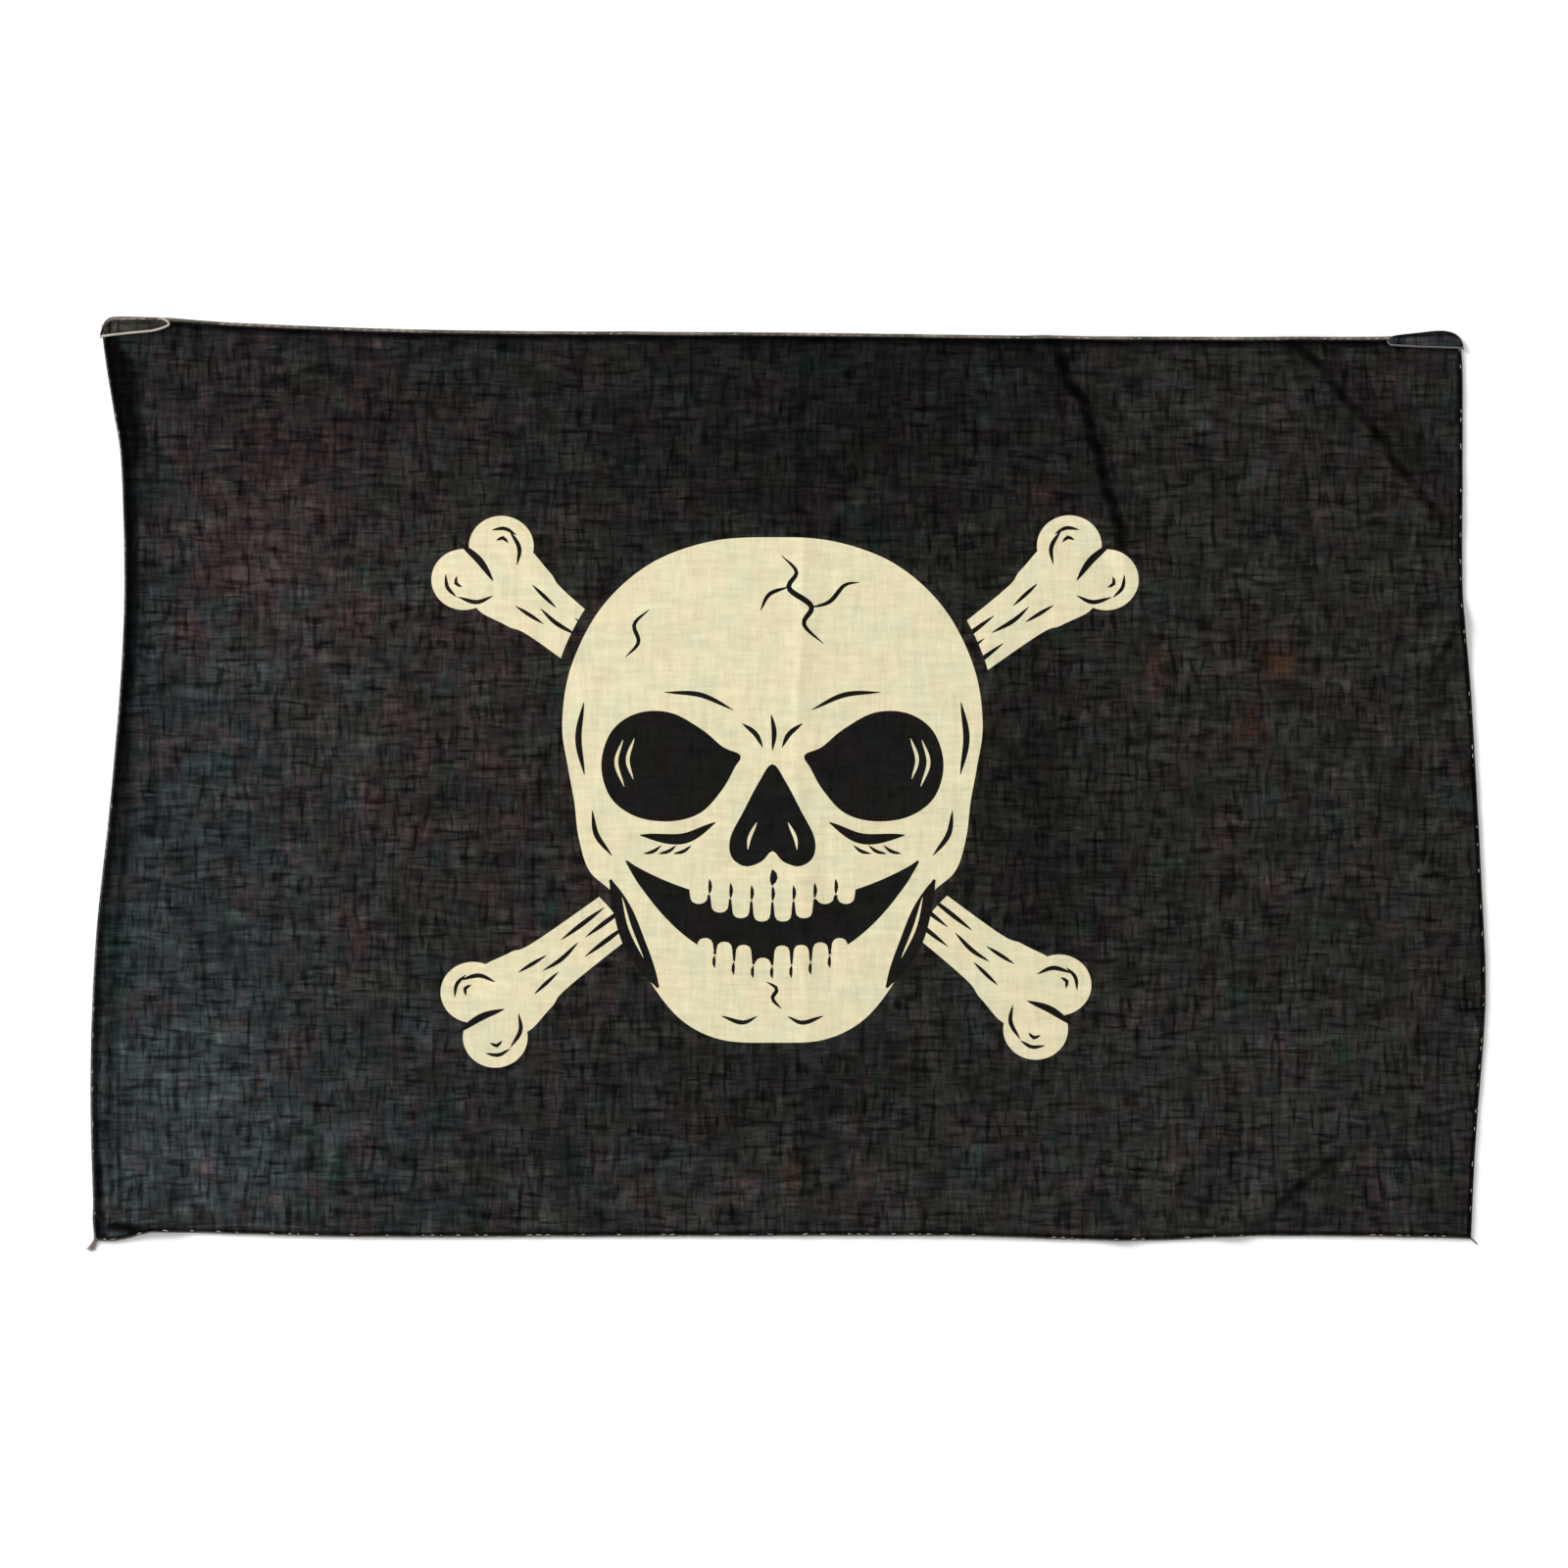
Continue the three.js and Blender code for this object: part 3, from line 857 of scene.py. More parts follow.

# %% [markdown]
# ### Painted shade near the creases
#
# The creases' table from before is now used a second time. Each line paints shade on the points
# near it, most of all in its middle. A slow wave breaks it up, so that it doesn't look ruled.

# %% How much painted shade each point gets along those creases
all_xy = vertices[:, :2]
crease_shade = np.zeros(len(vertices))
for dark, wide, line in CREASE_SHADE_LINES:
    broken = 0.70 + 0.30 * np.sin(all_xy[:, 1] * 0.9 + all_xy[:, 0] * 0.5)
    crease_shade = np.maximum(crease_shade, dark * ridge(all_xy, 1.0, wide, wide, line) ** 0.5 * broken)
print("points on a dark crease:", int((crease_shade > 0.2).sum()))

# %% [markdown]
# ### The hem's wear and painted shade
#
# The four sides of a flag don't look alike. Here the bottom is rubbed most, and the painted shade
# in the groove is darkest on the right. So each of these numbers is a row of four, one for each
# side, and every point picks the one for the side it is nearest to.

# %% Which side is nearest
BOTTOM, RIGHT, TOP, LEFT = range(4)
LYING_LENGTH, LYING_HEIGHT = 456, 304


def side_of(xy):
    """The side that each point is nearest to."""
    x, y = xy.T
    share_x = np.clip(x / LYING_LENGTH + 0.5, 0, 1) * FLAT_LENGTH
    share_y = np.clip(y / LYING_HEIGHT + 0.5, 0, 1) * FLAT_HEIGHT
    away = {BOTTOM: share_y, RIGHT: FLAT_LENGTH - share_x, TOP: FLAT_HEIGHT - share_y, LEFT: share_x}
    return np.stack([away[number] for number in range(4)]).argmin(axis=0)


side = side_of(all_xy)
all_inset, all_run = near_edge(all_xy)
print("points nearest to each side:", [int((side == number).sum()) for number in range(4)])

# %% The hem's pale rim, and the painted shade of its groove
uneven = 0.5 + 0.3 * np.sin(all_run / 7.3) + 0.2 * np.sin(all_run / 3.1 + 2)
pale_by_side = np.array([0.95, 0.60, 0.70, 0.55])[side]
pale_ends = np.array([0.6, 0.45, 1.1, 0.75])[side]
pale_rim = pale_by_side * soft_step(pale_ends, pale_ends - 0.4, all_inset) * (0.35 + 0.8 * uneven)
pale_rim *= 0.78 + 0.30 * np.sin(all_run * 2 * np.pi / STITCH_PITCH)
# Where the roll meets the cloth, the hem is darker partly for its doubled cloth and partly for painted
# shade in the groove.
groove_shade_by_side = np.array([1.8, 2.3, 2.1, 0.5])[side]
groove_from = np.array([0.4, 0.3, 1.0, 0.8])[side]
groove_to = np.array([2.1, 2.0, 3.1, 2.9])[side]
groove_shade_and_doubling = soft_step(groove_from, groove_from + 0.5, all_inset)
groove_shade_and_doubling *= soft_step(groove_to, groove_to - 1.0, all_inset)
groove_shade_and_doubling *= groove_shade_by_side * (0.7 + 0.4 * uneven)
print("pale rim up to", round(float(pale_rim.max()), 2))

# %% [markdown]
# ### The left side
#
# The wider turning on the left is two layers thick, and is darker partly for the doubled
# cloth and partly for painted shade where it turns under. High up the whole turning is dark.
# Lower down only a thin strip at the very edge is, and a fine line of painted shade lies
# where the turning ends.

# %% The dark parts of the left side: doubled cloth and painted shade
# The dark band is as wide as the turning, and wider towards the top.
high = all_xy[:, 1]
band = 4.6 + 4.4 * soft_step(90, 140, high)
left_dark = soft_step(band + 1.6, band - 1.6, all_inset) * soft_step(-70, 40, high)
left_low = soft_step(3.2, 1.6, all_inset) * soft_step(-20, -90, high)
# Painted shade: a fine dark line in the valley where the turning ends.
beside_turning = np.exp(-(((all_inset - TURNED_WIDTH - 0.4) / 0.7) ** 2))
turning_edge_shade = beside_turning * soft_step(60, -60, high)
left_doubling_and_shade = (side == LEFT) * (2.0 * left_dark + 1.2 * left_low + 0.9 * turning_edge_shade)
print("darkest on the left side:", round(float(left_doubling_and_shade.max()), 2))

# %% [markdown]
# ### All of it together
#
# The shares are now added up into one number for each point. The flaps show the back of the
# hem, so they get numbers of their own: painted shade darkest at the fold, warm at the left and
# cool at the right.

# %% Add up the wear and the painted shade
LEFT_FLAP_WARM, RIGHT_FLAP_WARM = 1.4, -1.0
is_flap = np.arange(len(vertices)) >= 2 * count
flap_fold_shade = 0.2 - 2.0 * np.exp(-((share / 0.22) ** 2))
flap_warm = np.where(all_xy[:, 0] < 0, LEFT_FLAP_WARM, RIGHT_FLAP_WARM)
fade_and_shade = spots(all_xy, FADED) - crease_shade - groove_shade_and_doubling - left_doubling_and_shade
fade_and_shade[is_flap] = np.tile(flap_fold_shade, is_flap.sum() // FLAP_ROWS)
pale_rim = np.where(is_flap, 0, pale_rim)
warm = np.where(is_flap, flap_warm, spots(all_xy, WARM))
red = np.where(is_flap, 0, spots(all_xy, RED))
stain = np.where(is_flap, 0, spots(all_xy, STAINED))
print("fade from", round(float(fade_and_shade.min()), 2), "to", round(float(fade_and_shade.max()), 2))

# %% [markdown]
# ### The cloth as an object
#
# from_pydata turns plain lists of points and faces into a mesh. The numbers on faces and points
# become named attributes, which the material reads by the same names.

# %% Make the cloth
def new_mesh(name, points_mm, polygons):
    """A smooth-shaded mesh object at the origin, from points in millimetres."""
    mesh = bpy.data.meshes.new(name)
    mesh.from_pydata((np.asarray(points_mm) * MM).tolist(), [], polygons)
    mesh.validate()
    mesh.shade_smooth()
    made = bpy.data.objects.new(name, mesh)
    bpy.context.scene.collection.objects.link(made)
    return made


cloth = new_mesh("flag_muslin", vertices, [tuple(int(i) for i in f) for f in faces])
of_faces = {"print": face_tone, "inked": face_inked, "back": face_back}
of_points = {"fade_and_shade": fade_and_shade, "warm": warm, "red": red, "stain": stain, "pale_rim": pale_rim}
for domain, measures in (("FACE", of_faces), ("POINT", of_points)):
    for name, values in measures.items():
        layer = cloth.data.attributes.new(name, "FLOAT", domain)
        layer.data.foreach_set("value", np.asarray(values, dtype=np.float32))
print("cloth:", len(cloth.data.polygons), "faces")

# %% [markdown]
# ## Muslin
#
# Muslin is a plain weave of thin, uneven cotton: one set of threads runs up the flag and one
# across, about ten to the centimetre each way in the loosest grades and thirty in finer ones. Up
# close it is never one colour. Each thread takes the dye differently along its length, thick
# slubs come and go, and gaps between threads let light through.
#
# An image of cloth would tile and betray itself. Noise stretched long in one direction is a
# good thread: two such noises at right angles already look woven. So the whole cloth is one
# material made of such noises, in a few sizes. It takes many nodes, and a few short helpers
# keep that readable.

# %% A short way to add nodes
def node(tree, kind, inputs=None, **settings):
    """Adds a node, sets its options, and sets or links its inputs."""
    made = tree.nodes.new(kind)
    for key, value in settings.items():
        setattr(made, key, value)
    for key, value in (inputs or {}).items():
        if isinstance(value, bpy.types.NodeSocket):
            tree.links.new(value, made.inputs[key])
        else:
            made.inputs[key].default_value = value
    return made


def maths(tree, operation, *values):
    """The result of one sum on sockets or numbers."""
    return node(tree, "ShaderNodeMath", dict(enumerate(values)), operation=operation).outputs[0]


def clamped(tree, value):
    """A value kept between 0 and 1."""
    return node(tree, "ShaderNodeClamp", {"Value": value}).outputs[0]


def attribute(tree, name):
    """A number that was stored on the mesh under this name."""
    return node(tree, "ShaderNodeAttribute", attribute_name=name).outputs["Fac"]


def mix(tree, factor, first_colour, second_colour):
    """A colour between two colours."""
    return node(tree, "ShaderNodeMix", {0: factor, 6: first_colour, 7: second_colour},
                data_type="RGBA").outputs[2]


def scaled(tree, colour, factor):
    """A colour made darker or lighter by a factor."""
    return node(tree, "ShaderNodeVectorMath", {0: colour, "Scale": factor},
                operation="SCALE").outputs[0]


print("helpers: node, maths, clamped, attribute, mix and scaled")

# %% [markdown]
# ### Noise that looks like thread
#
# A Mapping node shrinks the place on the cloth by the size that a grain should have, another
# size for each direction. A noise then has grains of just that size. Its values gather round a
# half, so they are centred and given a weight before they are added. For the few threads that
# took far more dye than the rest, only the peaks of a noise are kept.

# %% Noise that looks like thread
# Each row: width and height of a dark thread in mm, and a shift that sets its noise apart.
DARK_THREADS = [(1.5, 7, 71.0), (8, 1.4, 83.0), (2.2, 10, 97.0), (11, 2.0, 103.0)]
PEAKS_ABOVE = 0.60
PEAK_STEEPNESS = 6.0


def thread_noise(tree, place, across, up, detail=1.0, offset=0.0):
    """Noise whose grains are this wide and this tall, in millimetres."""
    stretched = node(tree, "ShaderNodeMapping", {
        "Vector": place, "Scale": (1 / (across * MM), 1 / (up * MM), 1), "Location": (offset, offset, 0)})
    return node(tree, "ShaderNodeTexNoise", {
        "Vector": stretched.outputs[0], "Scale": 1.0, "Detail": detail, "Roughness": 0.55},
        noise_dimensions="2D").outputs["Fac"]


def weighted(tree, parts):
    """The sum of each noise's distance from its middle value, times its weight."""
    total = None
    for value, weight in parts:
        centred = maths(tree, "SUBTRACT", value, 0.5)
        part = maths(tree, "MULTIPLY", centred, weight)
        total = part if total is None else maths(tree, "ADD", total, part)
    return total


def dark_threads(tree, place):
    """1 on a few short threads each way that took more dye than the rest, and 0 between them."""
    total = None
    for across, up, offset in DARK_THREADS:
        grains = thread_noise(tree, place, across, up, detail=0.5, offset=offset)
        peaks = maths(tree, "SUBTRACT", grains, PEAKS_ABOVE)
        peaks = clamped(tree, maths(tree, "MULTIPLY", peaks, PEAK_STEEPNESS))
        total = peaks if total is None else maths(tree, "ADD", total, peaks)
    return total


print("sets of dark threads:", len(DARK_THREADS))

# %% [markdown]
# ### How deep the dye is, with the painted shade
#
# Three sizes of thread run each way: single threads, slubs, and streaks as long as a finger
# joint. A slow blotch is added, and the scatter of short dark threads is taken away, most where
# the blotch is high. Inked strokes are more even and darker than the dyed ground, and the back
# is a little paler. The stored fade and painted shade are added as well. The sum is used as a
# power, so that each part multiplies the colour, because dye works by shares and not by sums.

# %% How deep the dye is, with the painted shade
DARK_THREAD_DEPTH = 1.5
DARK_THREAD_START = -0.02
INK_EVENNESS = 0.72
INK_DARKER = 0.55
BACK_PALER = 0.25
DYE_LEVEL = 0.32
muslin = bpy.data.materials.new("printed_muslin")
muslin.use_nodes = True
tree = muslin.node_tree
tree.nodes.clear()
place = node(tree, "ShaderNodeTexCoord").outputs["Object"]
warp = thread_noise(tree, place, 0.85, 6)
weft = thread_noise(tree, place, 6.5, 0.85, offset=7.3)
slub_up = thread_noise(tree, place, 1.9, 9, offset=3.1)
slub_across = thread_noise(tree, place, 10, 1.9, offset=11.7)
streak_up = thread_noise(tree, place, 4.2, 19, offset=5.9)
streak_across = thread_noise(tree, place, 22, 4.0, offset=17.0)
blotch = thread_noise(tree, place, 17, 14, detail=3.0, offset=1.7)
dye_noises = [(warp, 0.80), (weft, 0.85), (slub_up, 0.85), (slub_across, 0.95),
              (streak_up, 1.0), (streak_across, 1.0), (blotch, 1.0)]
depth = weighted(tree, dye_noises)
crowding = maths(tree, "MULTIPLY", blotch, DARK_THREAD_DEPTH)
crowding = maths(tree, "ADD", crowding, DARK_THREAD_START)
darker = maths(tree, "MULTIPLY", dark_threads(tree, place), crowding)
depth = maths(tree, "SUBTRACT", depth, darker)
depth = maths(tree, "ADD", depth, DYE_LEVEL)
inked_share = attribute(tree, "inked")
back_share = attribute(tree, "back")
calm = maths(tree, "SUBTRACT", 1.0, maths(tree, "MULTIPLY", inked_share, INK_EVENNESS))
depth = maths(tree, "MULTIPLY", depth, calm)
# The stored numbers add faded dye and the painted shade of creases, hem groove, left turning and flap
# folds.
faded_and_shaded = maths(tree, "ADD", depth, attribute(tree, "fade_and_shade"))
faded_and_shaded = maths(tree, "SUBTRACT", faded_and_shaded, maths(tree, "MULTIPLY", inked_share, INK_DARKER))
faded_and_shaded = maths(tree, "ADD", faded_and_shaded, maths(tree, "MULTIPLY", back_share, BACK_PALER))
dye_and_shade_strength = maths(tree, "POWER", math.e, faded_and_shaded)
print("muslin: dye depth built from", len(dye_noises), "noises")

# %% [markdown]
# ### The cast of the black
#
# Black dye is often a mix of colours, and they don't fade together. Some stretches turn warm,
# some cool, a few reddish or greenish. A colour ramp holds the steps from cool to warm.
# Red, rust and green are mixed in by noises and by the patches stored on the mesh. All the
# colours are nearly black: the dye's depth with its painted shade, worked out above, then
# scales them.

# %% The cast of the black
COOL_BLACK = (0.0116, 0.0148, 0.0166, 1)
PLAIN_BLACK = (0.0137, 0.0143, 0.0134, 1)
WARM_BLACK = (0.0150, 0.0145, 0.0108, 1)
hue_wander = thread_noise(tree, place, 19, 15, detail=3.0, offset=23.0)
fleck = thread_noise(tree, place, 4.0, 2.2, detail=0.0, offset=31.0)
red_wander = thread_noise(tree, place, 17, 21, detail=2.5, offset=57.0)
green_wander = thread_noise(tree, place, 12, 19, detail=2.5, offset=67.0)
cast = maths(tree, "ADD", attribute(tree, "warm"), weighted(tree, [(hue_wander, 3.0), (fleck, 1.0)]))
cast = maths(tree, "ADD", maths(tree, "MULTIPLY", cast, 0.5), 0.5)
cast_colour = node(tree, "ShaderNodeValToRGB", {"Fac": cast})
ramp = cast_colour.color_ramp
ramp.elements[0].position = 0.0
ramp.elements[0].color = COOL_BLACK
ramp.elements[1].position = 1.0
ramp.elements[1].color = WARM_BLACK
ramp.elements.new(0.45).color = PLAIN_BLACK
print("cast of the black:", len(ramp.elements), "steps from cool to warm")

# %% Red, rust and green in the black
REDDISH_BLACK = (0.0192, 0.0130, 0.0132, 1)
RUSTY_BLACK = (0.0330, 0.0150, 0.0090, 1)
GREENISH_BLACK = (0.0080, 0.0210, 0.0160, 1)
red_share = weighted(tree, [(red_wander, 3.4), (fleck, 0.6)])
red_share = maths(tree, "ADD", attribute(tree, "red"), red_share)
red_share = clamped(tree, red_share)
cast_colour = mix(tree, red_share, cast_colour.outputs[0], REDDISH_BLACK)
speckled = maths(tree, "MULTIPLY", attribute(tree, "stain"), maths(tree, "MULTIPLY", fleck, 1.9))
rusty = clamped(tree, speckled)
green_share = maths(tree, "MULTIPLY", maths(tree, "SUBTRACT", green_wander, 0.60), 2.4)
green_share = maths(tree, "SUBTRACT", clamped(tree, green_share), speckled)
greenish = clamped(tree, green_share)
cast_colour = mix(tree, rusty, cast_colour, RUSTY_BLACK)
cast_colour = mix(tree, greenish, cast_colour, GREENISH_BLACK)
black = scaled(tree, cast_colour, dye_and_shade_strength)
print("muslin so far:", len(tree.nodes), "nodes")

# %% [markdown]
# ### Undyed cotton and the rubbed rim
#
# The motif is bare cotton, so it shows the same threads, but far more gently: undyed threads
# only differ in thickness. The same noises are used again with small weights, so a slub runs
# straight on from the black into the cream. The rubbed rim of the hem is a dull brownish grey
# between the two.

# %% Undyed cotton, and the rubbed rim of the hem
BACK_GREYER = 0.35
GREENISH_CREAM, REDDISH_CREAM = (0.585, 0.604, 0.412, 1), (0.722, 0.596, 0.384, 1)
SOAKED_CREAM = (0.30, 0.28, 0.20, 1)
DULL_RIM, PALE_RIM = (0.10, 0.082, 0.064, 1), (0.46, 0.41, 0.33, 1)
grain = weighted(tree, [(warp, 0.13), (weft, 0.14), (slub_up, 0.17), (slub_across, 0.17),
                        (streak_up, 0.13), (streak_across, 0.11)])
grain = maths(tree, "ADD", grain, 1.0)
cream_cast = thread_noise(tree, place, 12, 15, detail=2.0, offset=41.0)
cream = mix(tree, cream_cast, GREENISH_CREAM, REDDISH_CREAM)
cream = scaled(tree, cream, grain)
soaked = maths(tree, "MULTIPLY", back_share, BACK_GREYER)
cream = mix(tree, soaked, cream, SOAKED_CREAM)
rubbed = mix(tree, weft, DULL_RIM, PALE_RIM)
face_colour = mix(tree, attribute(tree, "print"), black, cream)
cloth_colour = mix(tree, attribute(tree, "pale_rim"), face_colour, rubbed)
print("attributes read:", ", ".join([*of_faces, *of_points]))

# %% [markdown]
# ### The feel of the weave
#
# Single threads are too fine to model over a whole flag, so they are a bump. It moves only the
# shading. Cotton is matt: the surface is rough, its mirror-like part is all but gone, and a
# trace of sheen stands for the fluff.

# %% Bump, sheen and the finished cloth
relief = weighted(tree, [(warp, 1.0), (weft, 1.0), (slub_up, 0.6), (slub_across, 0.6)])
bump = node(tree, "ShaderNodeBump", {"Height": relief, "Strength": 0.35, "Distance": 0.12 * MM})
surface = node(tree, "ShaderNodeBsdfPrincipled", {
    "Base Color": cloth_colour, "Normal": bump.outputs[0], "Roughness": 0.9,
    "Specular IOR Level": 0.03, "Sheen Weight": 0.01, "Sheen Roughness": 0.5})
node(tree, "ShaderNodeOutputMaterial", {"Surface": surface.outputs[0]})
cloth.data.materials.append(muslin)
print("muslin:", len(tree.nodes), "nodes")

# %% [markdown]
# ## Thread
#
# The hem was sewn with undyed cotton. Sewing thread is twisted, so it is light where the twist
# stands up and dark in its grooves, and it picks up grime in patches. The same stretched noise
# at a small size paints that highlight and shade of the twist, and at a large size the grime.
# One function makes the thread, the fray and the two edges of the corner flaps, with colours
# of their own.

# %% Thread, and the browner fibres of a fray
def cotton(name, shaded, lit, soiled):
    """A twisted cotton thread: painted shade and highlight for the twist, one tone for its grime."""
    made = bpy.data.materials.new(name)
    made.use_nodes = True
    tree = made.node_tree
    tree.nodes.clear()
    place = node(tree, "ShaderNodeTexCoord").outputs["Object"]
    twist = thread_noise(tree, place, 0.35, 0.5, detail=1.0)
    grime = thread_noise(tree, place, 17, 13, detail=2.0, offset=9.0)
    colour = mix(tree, twist, (*shaded, 1), (*lit, 1))
    colour = mix(tree, grime, colour, (*soiled, 1))
    bump = node(tree, "ShaderNodeBump", {"Height": twist, "Strength": 0.3, "Distance": 0.05 * MM})
    surface = node(tree, "ShaderNodeBsdfPrincipled", {
        "Base Color": colour, "Normal": bump.outputs[0], "Roughness": 0.8,
        "Specular IOR Level": 0.2, "Sheen Weight": 0.1})
    node(tree, "ShaderNodeOutputMaterial", {"Surface": surface.outputs[0]})
    return made


thread = cotton("cotton_thread", (0.26, 0.23, 0.19), (0.62, 0.57, 0.48), (0.15, 0.13, 0.11))
pale_edge = cotton("pale_edge", (0.36, 0.33, 0.28), (0.72, 0.68, 0.60), (0.28, 0.25, 0.21))
worn_edge = cotton("worn_edge", (0.08, 0.08, 0.08), (0.23, 0.23, 0.22), (0.06, 0.06, 0.06))
fray = cotton("frayed_cotton", (0.10, 0.075, 0.068), (0.42, 0.34, 0.31), (0.12, 0.095, 0.088))
print("cottons:", ", ".join(made.name for made in (thread, pale_edge, worn_edge, fray)))

# %% [markdown]
# ## Stitches
#
# A hem like this has about a stitch every three millimetres, some five hundred in all, and no
# two sit alike: some are pulled under, some stand up and catch the light. Placing them by
# hand would be hopeless and a plain array would look like a zip. Geometry Nodes can walk along
# the hem, drop a small grain-shaped stitch at each step, and vary it with a fixed seed, so the
# result is uneven and still the same every time.

# %% The stitch tree and its named inputs
stitch_tree = bpy.data.node_groups.new("sew_along", "GeometryNodeTree")
inputs_of_tree = stitch_tree.interface
inputs_of_tree.new_socket("Geometry", in_out="INPUT", socket_type="NodeSocketGeometry")
socket_names = {}
for label in ("Pitch", "Length", "Radius", "Depth", "Hidden", "Seed"):
    kind = "NodeSocketInt" if label == "Seed" else "NodeSocketFloat"
    made = inputs_of_tree.new_socket(label, in_out="INPUT", socket_type=kind)
    socket_names[label] = made.identifier
inputs_of_tree.new_socket("Geometry", in_out="OUTPUT", socket_type="NodeSocketGeometry")
print("inputs of the stitch tree:", ", ".join(socket_names))

# %% Walk along the hem and lose some of the stitches
start = node(stitch_tree, "NodeGroupInput").outputs
walk = node(stitch_tree, "GeometryNodeCurveToPoints",
            {"Curve": start["Geometry"], "Length": start["Pitch"]}, mode="LENGTH")
lost = node(stitch_tree, "FunctionNodeRandomValue",
            {"Probability": start["Hidden"], "Seed": start["Seed"]}, data_type="BOOLEAN")
kept = node(stitch_tree, "GeometryNodeDeleteGeometry",
            {"Geometry": walk.outputs["Points"], "Selection": lost.outputs[3]})
print("stitch tree so far:", len(stitch_tree.nodes), "nodes")

# %% A grain of thread at each place, each of its own size
SEGMENTS, RINGS = 6, 5
grain_shape = node(stitch_tree, "GeometryNodeMeshUVSphere",
                   {"Segments": SEGMENTS, "Rings": RINGS, "Radius": 0.5})
sizes = node(stitch_tree, "FunctionNodeRandomValue",
             {0: (0.75, 0.8, 0.6), 1: (1.1, 1.2, 1.15), "Seed": start["Seed"]},
             data_type="FLOAT_VECTOR")
across_size = node(stitch_tree, "ShaderNodeMath", {0: start["Radius"], 1: 2.0}, operation="MULTIPLY")
stitch_size = node(stitch_tree, "ShaderNodeCombineXYZ", {
    "X": across_size.outputs[0], "Y": across_size.outputs[0], "Z": start["Length"]})
varied = node(stitch_tree, "ShaderNodeVectorMath",
              {0: stitch_size.outputs[0], 1: sizes.outputs[0]}, operation="MULTIPLY")
sewn = node(stitch_tree, "GeometryNodeInstanceOnPoints", {
    "Points": kept.outputs[0], "Instance": grain_shape.outputs["Mesh"],
    "Rotation": walk.outputs["Rotation"], "Scale": varied.outputs[0]})
print("faces of one stitch:", SEGMENTS * RINGS)

# %% Lean and sink each stitch, and make them real
lean = node(stitch_tree, "FunctionNodeRandomValue",
            {0: (-0.10, -0.16, -0.22), 1: (0.10, 0.16, 0.22), "Seed": start["Seed"]},
            data_type="FLOAT_VECTOR")
leaning = node(stitch_tree, "GeometryNodeRotateInstances",
               {"Instances": sewn.outputs[0], "Rotation": lean.outputs[0]})
sink = node(stitch_tree, "FunctionNodeRandomValue", {2: -1.0, 3: 0.25, "Seed": start["Seed"]},
            data_type="FLOAT")
sunk = node(stitch_tree, "ShaderNodeMath", {0: sink.outputs[1], 1: start["Depth"]}, operation="MULTIPLY")
down = node(stitch_tree, "ShaderNodeCombineXYZ", {"Z": sunk.outputs[0]})
settled = node(stitch_tree, "GeometryNodeTranslateInstances", {
    "Instances": leaning.outputs[0], "Translation": down.outputs[0], "Local Space": False})
real = node(stitch_tree, "GeometryNodeRealizeInstances", {"Geometry": settled.outputs[0]})
dressed = node(stitch_tree, "GeometryNodeSetMaterial",
               {"Geometry": real.outputs[0], "Material": thread})
node(stitch_tree, "NodeGroupOutput", {"Geometry": dressed.outputs[0]})
print("stitch tree:", len(stitch_tree.nodes), "nodes")

# %% [markdown]
# ### Baking
#
# A tree or a bevel works on an object as long as the object lives. The finished flag has to be
# plain mesh. So a helper asks Blender for the evaluated result, keeps that as a new mesh and
# throws the source away.

# %% A line as an object, and its shape as plain mesh
def line_object(name, points_mm, cyclic=False):
    """A curve object through the points, at the origin."""
    curve = bpy.data.curves.new(name, "CURVE")
    curve.dimensions = "3D"
    spline = curve.splines.new("POLY")
    spline.points.add(len(points_mm) - 1)
    for place_on, point in zip(spline.points, points_mm):
        place_on.co = (*(np.asarray(point) * MM), 1)
    spline.use_cyclic_u = cyclic
    made = bpy.data.objects.new(name, curve)
    bpy.context.scene.collection.objects.link(made)
    return made


def baked(source, name):
    """The evaluated shape of an object as a plain mesh object. The source is removed."""
    evaluated = source.evaluated_get(bpy.context.evaluated_depsgraph_get())
    mesh = bpy.data.meshes.new_from_object(evaluated)
    made = bpy.data.objects.new(name, mesh)
    bpy.context.scene.collection.objects.link(made)
    bpy.data.objects.remove(source)
    mesh.shade_smooth()
    return made


print("helpers: line_object and baked")

# %% [markdown]
# ### Sewing the hem
#
# The stitches run on top of the roll, just inside the edge, and a second row shows underneath.
# On the left side the thread was pulled tighter, so the stitches there sit a little deeper.

# %% Sew the hem, top and underside
STITCH_LENGTH = 1.9
STITCH_RADIUS = 0.19
UPPER_INSET = 0.75
LOWER_INSET = 1.3
PULLED_IN = 0.14
SUNK_UNDER = 0.12


def sew(name, line_mm, seed, hidden, depth_mm):
    """One run of stitches along a closed line. Hidden is the share that has sunk out of sight."""
    hem_line = line_object(name + "_line", line_mm, cyclic=True)
    steps = hem_line.modifiers.new("Sew", "NODES")
    steps.node_group = stitch_tree
    sizes_mm = {"Pitch": STITCH_PITCH, "Length": STITCH_LENGTH, "Radius": STITCH_RADIUS,
                "Depth": depth_mm}
    for label, size in sizes_mm.items():
        steps[socket_names[label]] = size * MM
    steps[socket_names["Hidden"]] = hidden
    steps[socket_names["Seed"]] = seed
    sewn_line = baked(hem_line, name)
    sewn_line.data.materials.clear()
    sewn_line.data.materials.append(thread)
    return sewn_line


